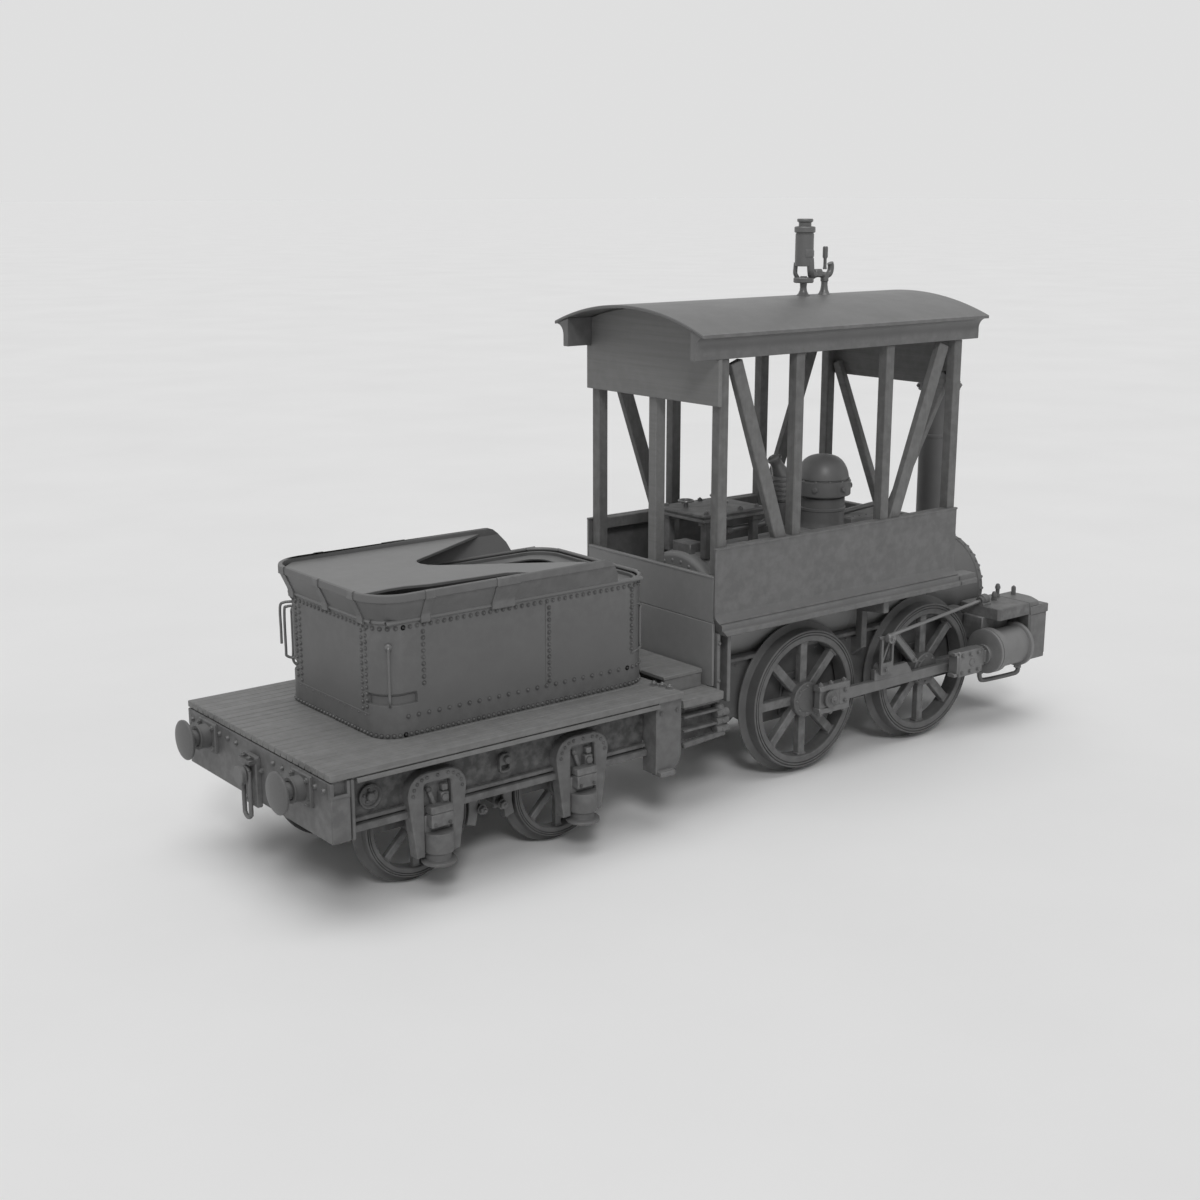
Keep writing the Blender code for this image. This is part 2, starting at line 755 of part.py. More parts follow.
# Firehole door and regulator handle on the backhead
fire_pivot = empty("firehole_door_pivot", (16.5 * MM, 14 * MM, FIREHOLE_Z), engine)
fire_door = fuse(
    box((15 * MM, -11 * MM, FIREHOLE_Z - 12 * MM), (18 * MM, 12 * MM, FIREHOLE_Z + 12 * MM)),
    rod((16.5 * MM, 14 * MM, FIREHOLE_Z - 14 * MM), (16.5 * MM, 14 * MM, FIREHOLE_Z + 14 * MM), 2.2 * MM, 8),
    rod((10.5 * MM, -8 * MM, FIREHOLE_Z), (16 * MM, -8 * MM, FIREHOLE_Z), 2 * MM, 8),
    box((15.4 * MM, 8 * MM, FIREHOLE_Z - 8 * MM), (17.6 * MM, 15 * MM, FIREHOLE_Z + 8 * MM)),
)
node("firehole_door", fire_door, "iron", fire_pivot)

regulator_pivot = empty("regulator_pivot", (14 * MM, 0, 182 * MM), engine)
regulator = fuse(
    rod((10 * MM, 0, 182 * MM), (18.6 * MM, 0, 182 * MM), 5 * MM, 12),
    bar((12.5 * MM, 0, 182 * MM), (12.5 * MM, -34 * MM, 190 * MM), 5 * MM, 3 * MM),
    rod((12.5 * MM, -33 * MM, 189.8 * MM), (2 * MM, -33 * MM, 189.8 * MM), 2.4 * MM, 8),
)
node("regulator_handle", regulator, "steel", regulator_pivot)


# Wheels
def spoked_wheel(x, axle_z, side, face_y, tread_r, flange_r, rim_r, hub_r, sides, crank_deg=None, bore_r=None):
    """A wheel: a tyre ring, with its flange if given, a hub and eight spokes, with a flat at its lowest point."""
    wide = face_y - WHEEL_BACK_Y
    grow = 1 / math.cos(math.pi / sides)
    profile = [(rim_r, wide), (tread_r * grow, wide), (tread_r * grow, FLANGE_WIDTH)]
    if flange_r is None:
        profile += [(rim_r, FLANGE_WIDTH)]
    else:
        profile += [(flange_r * grow, FLANGE_WIDTH - 1.5 * MM), (flange_r * grow, 0), (rim_r, 0)]
    centre = (x, side * WHEEL_BACK_Y, axle_z)
    if side < 0:
        profile = [(r, -h) for r, h in profile]
    tyre = turned(profile, sides, centre, "Y", ring=True, half_step=True)
    hub_back = WHEEL_BACK_Y + (2.4 * MM if flange_r is None else 0)
    hub = rod((x, side * hub_back, axle_z), (x, side * (face_y + 2 * MM), axle_z), hub_r, 16)
    spoke_y = side * (WHEEL_BACK_Y + face_y) / 2
    spokes = []
    for i in range(4):
        angle = math.pi * i / 4
        reach = Vector((math.sin(angle), 0, math.cos(angle))) * (rim_r + 2 * MM)
        middle = Vector((x, spoke_y, axle_z))
        spokes.append(bar(middle - reach, middle + reach, 0.13 * tread_r, wide * 0.5))
    wheel = fuse(hub, *spokes, tyre)
    if crank_deg is not None:
        angle = math.radians(crank_deg)
        pin_x = x + CRANK_THROW * math.cos(angle)
        pin_z = axle_z + CRANK_THROW * math.sin(angle)
        boss = rod((pin_x, side * (face_y - 9 * MM), pin_z), (pin_x, side * (ROD_IN_Y - GAP), pin_z), 9 * MM, 12)
        pin = rod((pin_x, side * (face_y - 5 * MM), pin_z), (pin_x, side * 91.5 * MM, pin_z), CRANK_PIN_R, 12)
        collar = rod((pin_x, side * (ROD_OUT_Y + GAP), pin_z), (pin_x, side * 91.5 * MM, pin_z), 8 * MM, 12)
        wheel = fuse(wheel, boss, pin, collar)
    if bore_r is not None:
        hole = rod((x, side * (WHEEL_BACK_Y - 2 * MM), axle_z), (x, side * 74 * MM, axle_z), bore_r, 16)
        wheel = cut(wheel, hole)
    return wheel


def flange_rings(x, axle_z, inner_r, tread_r, flange_r, sides, shaft_r):
    """The two flanges of a wheelset as rings behind its wheels, held by arms from a sleeve on the axle."""
    grow = 1 / math.cos(math.pi / sides)
    sleeve_end = WHEEL_BACK_Y + 2 * MM
    body = rod((x, -sleeve_end, axle_z), (x, sleeve_end, axle_z), shaft_r + 4 * MM, 16)
    for side in (-1, 1):
        profile = [
            (inner_r, FLANGE_WIDTH - GAP),
            (tread_r * grow, FLANGE_WIDTH - GAP),
            (flange_r * grow, FLANGE_WIDTH - 1.5 * MM),
            (flange_r * grow, 0),
            (inner_r, 0),
        ]
        if side < 0:
            profile = [(r, -h) for r, h in profile]
        ring = turned(profile, sides, (x, side * WHEEL_BACK_Y, axle_z), "Y", ring=True, half_step=True)
        middle = Vector((x, side * (WHEEL_BACK_Y + 1 * MM), axle_z))
        upright = Vector((0, 0, inner_r + 2 * MM))
        level = Vector((inner_r + 2 * MM, 0, 0))
        arms = [bar(middle - reach, middle + reach, 6 * MM, 2 * MM) for reach in (upright, level)]
        body = fuse(body, ring, *arms)
    return cut(body, rod((x, -70 * MM, axle_z), (x, 70 * MM, axle_z), shaft_r + GAP, 16))


driver = empty("driver_pivot", (DRIVER_X, 0, ENGINE_AXLE_Z), engine)
leader = empty("leader_pivot", (LEADER_X, 0, ENGINE_AXLE_Z), engine)
CRANK_ANGLES = {"right": 0, "left": 90}
for side_name, side in SIDES:
    driving = spoked_wheel(
        DRIVER_X, ENGINE_AXLE_Z, side, ENGINE_WHEEL_FACE_Y, ENGINE_TREAD_R, ENGINE_FLANGE_R, 54 * MM, 16 * MM, 28,
        CRANK_ANGLES[side_name], ENGINE_AXLE_R + GAP,
    )
    node("rear_wheel_" + side_name, driving, "iron", driver)

rear_axle = rod((DRIVER_X, -73.7 * MM, ENGINE_AXLE_Z), (DRIVER_X, 73.7 * MM, ENGINE_AXLE_Z), ENGINE_AXLE_R, 16)
node("rear_axle", rear_axle, "steel", driver)

leading = rod((LEADER_X, -73.7 * MM, ENGINE_AXLE_Z), (LEADER_X, 73.7 * MM, ENGINE_AXLE_Z), ENGINE_AXLE_R, 16)
for side_name, side in SIDES:
    wheel = spoked_wheel(
        LEADER_X, ENGINE_AXLE_Z, side, ENGINE_WHEEL_FACE_Y, ENGINE_TREAD_R, ENGINE_FLANGE_R, 54 * MM, 16 * MM, 28
    )
    leading = fuse(leading, wheel)
node("front_wheelset", leading, "iron", leader)


# Connecting rods, with the valve links that stand on them
def crank_pin(side_name):
    angle = math.radians(CRANK_ANGLES[side_name])
    return Vector((DRIVER_X + CRANK_THROW * math.cos(angle), 0, ENGINE_AXLE_Z + CRANK_THROW * math.sin(angle)))


def rod_tilt(side_name):
    """How far the rod is turned about Y so that its front end is at axle height."""
    rise = ENGINE_AXLE_Z - crank_pin(side_name).z
    return math.asin(-rise / ROD_LENGTH)


def tilted(obj, side_name):
    """Take a piece drawn for a level rod on the right side to its own side's crank."""
    level = Vector((DRIVER_X + CRANK_THROW, 0, ENGINE_AXLE_Z))
    turn = Matrix.Rotation(rod_tilt(side_name), 4, "Y")
    place = Matrix.Translation(crank_pin(side_name)) @ turn @ Matrix.Translation(-level)
    tidy(obj.data, place)
    return obj


def connecting_rod(side):
    pin_x = DRIVER_X + CRANK_THROW
    in_y = side * ROD_IN_Y
    out_y = side * ROD_OUT_Y
    big_end = box((pin_x - 13 * MM, in_y, 57 * MM), (pin_x + 26 * MM, out_y, 83 * MM))
    shank = box((pin_x + 20 * MM, side * 81 * MM, 65 * MM), (pin_x + ROD_LENGTH, side * 87 * MM, 75 * MM))
    pad = box((LINK_X - 7 * MM, side * 81 * MM, 72 * MM), (LINK_X + 36 * MM, side * 87 * MM, 83 * MM))
    lug = rod((LINK_X, side * 81 * MM, LINK_PIVOT_Z), (LINK_X, side * 87 * MM, LINK_PIVOT_Z), 5 * MM, 10)
    eye = rod((pin_x + ROD_LENGTH, in_y, ENGINE_AXLE_Z), (pin_x + ROD_LENGTH, out_y, ENGINE_AXLE_Z), 9 * MM, 16)
    body = fuse(shank, big_end, pad, lug, eye)
    hole = rod(
        (pin_x, side * 70 * MM, ENGINE_AXLE_Z), (pin_x, side * 95 * MM, ENGINE_AXLE_Z), CRANK_PIN_R + GAP, 12
    )
    return cut(body, hole)


def valve_link(side):
    """A slotted frame that stands on the rod's pad."""
    outer = round_box(LINK_X - 10 * MM, LINK_X + 10 * MM, 82 * MM, 119 * MM, 3 * MM, 2)
    slot = [(LINK_X - 4 * MM, 95 * MM), (LINK_X + 4 * MM, 95 * MM), (LINK_X + 4 * MM, 112 * MM),
            (LINK_X - 4 * MM, 112 * MM)]
    return plate(outer, side * 89.2 * MM, side * 93 * MM, "XZ", [slot])


for side_name, side in SIDES:
    rod_pivot = empty("connecting_rod_pivot_" + side_name, crank_pin(side_name), driver)
    node("connecting_rod_" + side_name, tilted(connecting_rod(side), side_name), "steel", rod_pivot)
    level = Vector((DRIVER_X + CRANK_THROW, 0, ENGINE_AXLE_Z))
    reach = Vector((LINK_X, 0, LINK_PIVOT_Z)) - level
    reach.rotate(Matrix.Rotation(rod_tilt(side_name), 3, "Y"))
    link_pivot = empty("valve_link_pivot_" + side_name, crank_pin(side_name) + reach, rod_pivot)
    node("valve_link_" + side_name, tilted(valve_link(side), side_name), "steel", link_pivot)


# Crossheads with piston rod and piston, at the place along the stroke that their crank gives
def crosshead(side, shift):
    middle_y = side * CYLINDER_Y
    block = box((294 * MM, side * 89.4 * MM, 63 * MM), (326 * MM, side * 102 * MM, 88 * MM))
    neck = rod((322 * MM, middle_y, CYLINDER_Z), (334 * MM, middle_y, CYLINDER_Z), 4 * MM, 12)
    stem = rod((330 * MM, middle_y, CYLINDER_Z), (380 * MM, middle_y, CYLINDER_Z), 3.2 * MM, 12)
    piston = rod((377.5 * MM, middle_y, CYLINDER_Z), (384 * MM, middle_y, CYLINDER_Z), BORE_R - 2 * GAP, 16)
    body = fuse(block, neck, stem, piston)
    tidy(body.data, Matrix.Translation((shift, 0, 0)))
    return body


for side_name, side in SIDES:
    wrist = crank_pin(side_name).x + ROD_LENGTH * math.cos(rod_tilt(side_name))
    shift = wrist - (DRIVER_X + CRANK_THROW + ROD_LENGTH)
    crosshead_pivot = empty("crosshead_slide_" + side_name, (310 * MM + shift, side * CYLINDER_Y, CYLINDER_Z), engine)
    node("crosshead_" + side_name, crosshead(side, shift), "steel", crosshead_pivot)
    start, end = valve_line(side)
    along = (end - start).normalized()
    valve_pivot = empty("valve_rod_slide_" + side_name, start, engine)
    valve_rod = fuse(
        rod(start, end + along * 10 * MM, 1.7 * MM, 10),
        rod((LINK_X, side * 94 * MM, 117 * MM), (LINK_X, side * 99.5 * MM, 117 * MM), 5 * MM, 12),
    )
    node("valve_rod_" + side_name, valve_rod, "steel", valve_pivot)

# Tender deck, with lugs for the brake hangers
BRAKE_PIVOTS = (("rear", -246 * MM, -1), ("front", -221.5 * MM, 1))
BRAKE_PIVOT_Z = 106 * MM
deck = box((DECK_REAR_X, -DECK_HALF, DECK_LOW), (DECK_FRONT_X, DECK_HALF, DECK_TOP))
for brake_name, brake_x, lean in BRAKE_PIVOTS:
    for side_name, side in SIDES:
        lug = box((brake_x - 4 * MM, side * 60 * MM, 102 * MM), (brake_x + 4 * MM, side * 63 * MM, 116 * MM))
        deck = fuse(deck, lug)
node("tender_deck", deck, "timber", tender)

# Headstock: a beam with buffer housings and a hook block
HEADSTOCK_FRONT_X = -379.5 * MM
headstock = box((DECK_REAR_X, -DECK_HALF, 68.5 * MM), (HEADSTOCK_FRONT_X, DECK_HALF, DECK_LOW - GAP))
for side_name, side in SIDES:
    centre_y = side * BUFFER_Y
    flange = box((-402 * MM, centre_y - 14 * MM, 89.5 * MM), (-398 * MM, centre_y + 14 * MM, 113.5 * MM))
    housing = rod((-412.4 * MM, centre_y, BUFFER_Z), (-398 * MM, centre_y, BUFFER_Z), 9.5 * MM, 16)
    headstock = fuse(headstock, flange, housing)
    bore = rod((-430 * MM, centre_y, BUFFER_Z), (-384 * MM, centre_y, BUFFER_Z), 6.8 * MM, 16)
    headstock = cut(headstock, bore)
headstock = fuse(
    headstock,
    box((-403 * MM, -13 * MM, 76 * MM), (-398 * MM, 13 * MM, 106 * MM)),
    rod((-414 * MM, 0, HOOK_Z), (-400 * MM, 0, HOOK_Z), 3.2 * MM, 12),
    rod((-414 * MM, 0, HOOK_Z), (-409.6 * MM, 0, HOOK_Z), 7.6 * MM, 12),
)
node("tender_headstock", headstock, "paint", tender)

link_outer = round_box(-8 * MM, 8 * MM, 58 * MM, 99.5 * MM, 7.9 * MM, 4)
link_inner = round_box(-4.3 * MM, 4.3 * MM, 62 * MM, 95.6 * MM, 4.2 * MM, 4)
coupling_pivot = empty("coupling_pivot", (-407 * MM, 0, HOOK_Z), tender)
coupling = plate(link_outer, -408.8 * MM, -405 * MM, "YZ", [link_inner])
node("coupling_link", coupling, "iron", coupling_pivot)

for side_name, side in SIDES:
    centre_y = side * BUFFER_Y
    buffer_pivot = empty("buffer_slide_" + side_name, (-416 * MM, centre_y, BUFFER_Z), tender)
    head = turned(
        [(0, 1.5 * MM), (12 * MM, 0.6 * MM), (16 * MM, -1 * MM), (16 * MM, -3 * MM), (6.5 * MM, -4 * MM),
         (6.5 * MM, -32 * MM), (0, -32 * MM)],
        16,
        (0, 0, 0),
    )
    tidy(head.data, Matrix.Translation((-422.1 * MM, centre_y, BUFFER_Z)) @ Matrix.Rotation(-math.pi / 2, 4, "Y"))
    node("buffer_" + side_name, head, "steel", buffer_pivot)


# Sole bars: a channel with its web outside, and a stepped lower flange
def sole_bar(side):
    outline = [
        (87 * MM, 66.1 * MM),
        (98 * MM, 66.1 * MM),
        (98 * MM, 70.6 * MM),
        (93 * MM, 73.6 * MM),
        (93 * MM, 104.6 * MM),
        (98 * MM, 107.6 * MM),
        (98 * MM, DECK_LOW - GAP),
        (87 * MM, DECK_LOW - GAP),
    ]
    return plate([(side * y, z) for y, z in outline], -379.2 * MM, -95.3 * MM, "YZ")


for side_name, side in SIDES:
    node("sole_bar_" + side_name, sole_bar(side), "dark_paint", tender)


# Drag beam: a cross beam with step plates at its ends and a tongue over the drawbar
def step_plate(side):
    corner = arc(-82 * MM, 72 * MM, 14 * MM, 0, -90, 4)
    outline = [(-95 * MM, DECK_LOW - GAP), (-95 * MM, 52 * MM), (-82 * MM, 52 * MM), *reversed(corner[:-1]),
               (-68 * MM, DECK_LOW - GAP)]
    return plate(outline, side * 104 * MM, side * 109 * MM, "XZ")


tongue_hole = circle(DRAW_PIN_X, 0, 4.06 * MM, 16)
tongue_outline = [(-76 * MM, -11 * MM), (-60 * MM, -11 * MM), (-56 * MM, -6 * MM), (-56 * MM, 6 * MM),
                  (-60 * MM, 11 * MM), (-76 * MM, 11 * MM)]
drag_beam = fuse(
    box((-92 * MM, -106 * MM, 76 * MM), (-74 * MM, 106 * MM, DECK_LOW - GAP)),
    step_plate(-1),
    step_plate(1),
    box((-94 * MM, -114 * MM, 50.5 * MM), (-72 * MM, -106 * MM, 55.5 * MM)),
    box((-94 * MM, 106 * MM, 50.5 * MM), (-72 * MM, 114 * MM, 55.5 * MM)),
    plate(tongue_outline, 89.4 * MM, 95 * MM, "XY", [tongue_hole]),
)
node("drag_beam", drag_beam, "dark_paint", tender)

# Tank: an open-topped shell with round corners
def tank_plan(inset):
    rear = TANK_REAR_X + inset
    front = TANK_FRONT_X - inset
    half = TANK_HALF - inset
    rear_r = TANK_REAR_R - inset
    front_r = TANK_FRONT_R - inset
    return (
        arc(front - front_r, half - front_r, front_r, 0, 90, 6)
        + arc(rear + rear_r, half - rear_r, rear_r, 90, 180, 6)
        + arc(rear + rear_r, -half + rear_r, rear_r, 180, 270, 6)
        + arc(front - front_r, -half + front_r, front_r, 270, 360, 6)
    )


tank = plate(tank_plan(0), DECK_TOP + GAP, TANK_TOP, "XY")
tank_inside = plate(tank_plan(3 * MM), DECK_TOP + 4 * MM, TANK_TOP + 10 * MM, "XY")
node("tank", cut(tank, tank_inside), "paint", tender)


# Coping: a flared wall on three sides of the tank top, with rounded front ends, and a coal plate across it
def coping_loop(offset, front_x):
    """Plan of the flared wall at one height: open towards the front."""
    half = TANK_HALF - 1.2 * MM + offset
    rear = TANK_REAR_X + 1.2 * MM - offset
    radius = TANK_REAR_R + offset
    return (
        [(front_x, -half)]
        + arc(rear + radius, -half + radius, radius, 270, 180, 6)
        + arc(rear + radius, half - radius, radius, 180, 90, 6)
        + [(front_x, half)]
    )


def coping_wall():
    thick = 2.4 * MM
    rows = []
    for z, offset, front in (
        (TANK_TOP + GAP, 0, -109 * MM),
        (COPING_TOP - 16 * MM, COPING_FLARE * 0.42, -110 * MM),
        (COPING_TOP - 7 * MM, COPING_FLARE * 0.84, -116.5 * MM),
        (COPING_TOP, COPING_FLARE, -130 * MM),
    ):
        outside = [(x, y, z) for x, y in coping_loop(offset + thick / 2, front)]
        inside = [(x, y, z) for x, y in coping_loop(offset - thick / 2, front)]
        rows.append(outside + list(reversed(inside)))
    return loft(rows)


plate_half = TANK_HALF + COPING_FLARE * 0.7
plate_rear = TANK_REAR_X - COPING_FLARE * 0.7
side_points = [
    (plate_rear, 44 * MM),
    (plate_rear + 16 * MM, 58 * MM),
    (-205 * MM, 58 * MM),
    (-188 * MM, plate_half),
    (-134 * MM, plate_half),
]
coal_outline = (
    [(x, -y) for x, y in side_points] + [(-250 * MM, 0)] + [(x, y) for x, y in reversed(side_points)]
)
coping = fuse(coping_wall(), plate(coal_outline, 227 * MM, 229.2 * MM, "XY"))
node("tank_coping", coping, "paint", tender)


# Pedestals: an arched plate, an axlebox with a blind bore and a spring cup below it
def pedestal(x, side):
    crown = (
        arc(x + 8.8 * MM, 83.5 * MM, 17 * MM, 0, 90, 5)
        + arc(x - 8.8 * MM, 83.5 * MM, 17 * MM, 90, 180, 5)
    )
    outline = (
        [(x + 19.2 * MM, 34 * MM)]
        + crown
        + [(x - 19.2 * MM, 34 * MM), (x - 12 * MM, 34 * MM), (x - 12 * MM, 91.5 * MM),
           (x + 12 * MM, 91.5 * MM), (x + 12 * MM, 34 * MM)]
    )
    frame = plate(outline, side * 98.3 * MM, side * 102.2 * MM, "XZ")
    axlebox = fuse(
        box((x - 12.4 * MM, side * 84 * MM, 39 * MM), (x + 12.4 * MM, side * 101 * MM, 65.8 * MM)),
        box((x - 9.6 * MM, side * 100 * MM, 57.5 * MM), (x + 9.6 * MM, side * 108.3 * MM, 74 * MM)),
    )
    cup = fuse(
        rod((x, side * 101.5 * MM, 37 * MM), (x, side * 101.5 * MM, 53 * MM), 11.5 * MM, 12),
        rod((x, side * 101.5 * MM, 29 * MM), (x, side * 101.5 * MM, 39 * MM), 9.5 * MM, 12),
    )
    foot = rod((x, side * 101.5 * MM, 28 * MM), (x, side * 101.5 * MM, 31 * MM), 13.4 * MM, 12)
    body = fuse(frame, axlebox, cup, foot)
    bore = rod((x, side * 80 * MM, TENDER_AXLE_Z), (x, side * 99 * MM, TENDER_AXLE_Z), JOURNAL_R + GAP, 16)
    return cut(body, bore)


for axle_name, axle_x in TENDER_AXLE_XS:
    for side_name, side in SIDES:
        node("pedestal_%s_%s" % (axle_name, side_name), pedestal(axle_x, side), "iron", tender)
    wheelset_pivot = empty("tender_%s_pivot" % axle_name, (axle_x, 0, TENDER_AXLE_Z), tender)
    wheelset = rod((axle_x, -98 * MM, TENDER_AXLE_Z), (axle_x, 98 * MM, TENDER_AXLE_Z), JOURNAL_R, 16)
    for side_name, side in SIDES:
        wheel = spoked_wheel(
            axle_x, TENDER_AXLE_Z, side, TENDER_WHEEL_FACE_Y, TENDER_TREAD_R, None, 38 * MM, 11 * MM, 20
        )
        wheelset = fuse(wheelset, wheel)
    node("tender_%s_wheelset" % axle_name, wheelset, "iron", wheelset_pivot)
    flanges = flange_rings(axle_x, TENDER_AXLE_Z, 41 * MM, TENDER_TREAD_R, TENDER_FLANGE_R, 20, JOURNAL_R)
    node("tender_%s_flanges" % axle_name, flanges, "iron", wheelset_pivot)


# Brake beams: a cross bar with a shoe and a hanger at each wheel
def brake_beam(x, lean):
    bar_x = x - lean * 2.5 * MM
    body = rod((bar_x, -74 * MM, 47 * MM), (bar_x, 74 * MM, 47 * MM), 3 * MM, 10)
    for side_name, side in SIDES:
        shoe = box(
            (bar_x, side * 65.2 * MM, 36 * MM),
            (x + lean * 8.3 * MM, side * 71 * MM, 62 * MM),
        )
        hanger_y = side * 65.4 * MM
        hanger = bar((x, hanger_y, BRAKE_PIVOT_Z + 4 * MM), (bar_x, hanger_y, 42 * MM), 7 * MM, 3 * MM)
        body = fuse(body, shoe, hanger)
    return body


for brake_name, brake_x, lean in BRAKE_PIVOTS:
    brake_pivot = empty("brake_%s_pivot" % brake_name, (brake_x, 0, BRAKE_PIVOT_Z), tender)
    node("brake_beam_" + brake_name, brake_beam(brake_x, lean), "iron", brake_pivot)
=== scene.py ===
"""Looks of a garden live steam engine and its tender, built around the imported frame.

Lengths in the code are millimetres unless a property says metres. +X is the way the engine
runs, -Y is its right-hand side and +Z is up.
"""
import math
import random

import bmesh
import bpy
from bpy.props import FloatProperty, FloatVectorProperty, IntProperty, PointerProperty
from bpy.types import Operator, Panel, PropertyGroup
from mathutils import Matrix, Vector


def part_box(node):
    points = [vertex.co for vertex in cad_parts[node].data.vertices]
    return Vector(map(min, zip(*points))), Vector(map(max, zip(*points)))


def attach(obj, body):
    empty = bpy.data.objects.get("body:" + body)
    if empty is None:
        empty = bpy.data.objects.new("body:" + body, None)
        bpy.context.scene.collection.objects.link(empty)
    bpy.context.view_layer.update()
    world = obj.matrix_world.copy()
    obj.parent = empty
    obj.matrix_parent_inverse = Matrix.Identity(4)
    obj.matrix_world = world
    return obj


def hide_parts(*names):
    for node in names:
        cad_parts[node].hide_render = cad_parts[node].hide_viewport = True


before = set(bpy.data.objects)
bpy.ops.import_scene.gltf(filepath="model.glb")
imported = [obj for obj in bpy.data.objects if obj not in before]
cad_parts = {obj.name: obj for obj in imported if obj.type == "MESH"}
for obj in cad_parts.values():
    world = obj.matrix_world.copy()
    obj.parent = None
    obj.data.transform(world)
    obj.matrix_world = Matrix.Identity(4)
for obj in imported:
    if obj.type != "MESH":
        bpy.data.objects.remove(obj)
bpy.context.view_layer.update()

bl_info = {
    "name": "Live steam engine",
    "version": (1, 0, 0),
    "blender": (4, 5, 0),
    "location": "3D View > Sidebar > Steam engine",
    "description": "Builds a garden live steam engine with its tender around its frame",
    "category": "Add Mesh",
}

MM = 0.001
SIDES = (("right", -1), ("left", 1))
UP = Vector((0, 0, 1))
AXES = {"X": Vector((1, 0, 0)), "Y": Vector((0, 1, 0)), "Z": UP}


def node_mm(name):
    """Lowest and highest corner of a node of the frame, in millimetres."""
    low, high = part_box(name)
    return low / MM, high / MM


# Places and sizes that several pieces share
DECK_LOW, DECK_HIGH = node_mm("tender_deck")
DECK_UNDER = 114.4
TANK_LOW, TANK_HIGH = node_mm("tank")
REAR_RADIUS = 20
FRONT_RADIUS = 27
ENGINE_AXLE_Z = 70
DRIVER_X = 110.2
LEADER_X = 270.9
TENDER_AXLE_Z = 51
TENDER_AXLES = (("rear", -302), ("front", -165.5))
BRAKES = (("rear", -246), ("front", -221.5))
BUFFER_Y = 76
BUFFER_Z = 101.5
HOOK_Z = 92
DRAWBAR_PIN_X = -64
WHEEL_BACK = 59.5
CRANK_THROW = 18
ROD_LENGTH = 181.8
CYLINDER_Y = 93
CYLINDER_Z = 77
VALVE_ROD_ENDS = ((192, 97.6, 120), (344, 75.6, 124.8))
SMOKEBOX_Z = 128
SMOKEBOX_FRONT = 384
BOILER_Z = 148
CAB_REAR = -13.6
CAB_FRONT = 292.3
POST_XS = (-9.3, 78, 190, 281.5)
ROOF_HALF = 98.6
CHIMNEY_X = 362
DOME_X = 201
SAFETY_VALVE_X = 146
WHISTLE_X = 168
WHISTLE_LEVER_X = 195


# Settings that a user would change
class FinishSettings(PropertyGroup):
    """Colours of the finishes."""

    paint: FloatVectorProperty(
        name="Paint", description="Satin paint of tank, cab and roof", subtype="COLOR", size=3,
        default=(0.12, 0.12, 0.12), min=0, max=1,
    )
    dark_paint: FloatVectorProperty(
        name="Dark paint", description="Matt paint of frames, boiler and chimney", subtype="COLOR", size=3,
        default=(0.125, 0.125, 0.125), min=0, max=1,
    )
    timber: FloatVectorProperty(
        name="Timber", description="Painted boards and posts", subtype="COLOR", size=3,
        default=(0.16, 0.16, 0.158), min=0, max=1,
    )
    steel: FloatVectorProperty(
        name="Steel", description="Rods, rails and fittings", subtype="COLOR", size=3,
        default=(0.15, 0.15, 0.15), min=0, max=1,
    )
    iron: FloatVectorProperty(
        name="Iron", description="Castings and wheels", subtype="COLOR", size=3,
        default=(0.13, 0.13, 0.13), min=0, max=1,
    )


class TrimSettings(PropertyGroup):
    """Sizes of the small trim."""

    rivet_radius: FloatProperty(
        name="Rivet radius", description="Radius of a tank rivet's head", default=1.3 * MM, min=0,
        unit="LENGTH",
    )
    bolt_width: FloatProperty(
        name="Bolt width", description="Width across the flats of a bolt head", default=4.2 * MM, min=0,
        unit="LENGTH",
    )
    plank_width: FloatProperty(
        name="Plank width", description="Width of a deck board", default=9.2 * MM, min=0.001, unit="LENGTH"
    )
    plank_gap: FloatProperty(
        name="Plank gap", description="Gap between two deck boards", default=0.5 * MM, min=0, unit="LENGTH"
    )
    rail_radius: FloatProperty(
        name="Handrail radius", description="Radius of the tank's handrails", default=1.1 * MM, min=0,
        unit="LENGTH",
    )
    spokes: IntProperty(name="Spokes", description="Spokes of every wheel", default=8, min=3)


class StageSettings(PropertyGroup):
    """Camera, light and floor."""

    floor: FloatVectorProperty(
        name="Floor", description="Colour of the floor and backdrop", subtype="COLOR", size=3,
        default=(0.86, 0.86, 0.86), min=0, max=1,
    )
    camera_place: FloatVectorProperty(
        name="Camera", description="Where the camera stands", subtype="TRANSLATION", size=3, unit="LENGTH",
        default=(-0.9406, -1.1057, 0.5211),
    )
    camera_turn: FloatVectorProperty(
        name="Camera turn", description="How the camera is turned", subtype="EULER", size=3,
        default=(math.radians(76.197), 0, math.radians(-38.29)),
    )
    lens: FloatProperty(
        name="Lens", description="Focal length of the camera in mm", default=50.49, min=1, unit="CAMERA"
    )
    key_strength: FloatProperty(
        name="Key light", description="Strength of the key light", default=0.82, min=0
    )
    top_strength: FloatProperty(
        name="Top light", description="Strength of the overhead light", default=1.2, min=0
    )
    sky: FloatProperty(name="Sky", description="Strength of the light all round", default=0.3, min=0)
    backdrop: FloatProperty(name="Backdrop", description="How pale the backdrop looks", default=0.74, min=0)


class EngineSettings(PropertyGroup):
    """Everything that the operators read."""

    finish: PointerProperty(type=FinishSettings, name="Finishes", description="Colours of the finishes")
    trim: PointerProperty(type=TrimSettings, name="Trim", description="Sizes of the small trim")
    stage: PointerProperty(type=StageSettings, name="Stage", description="Camera, light and floor")


def settings():
    """The values that the operators read from the scene."""
    return bpy.context.scene.steam_engine


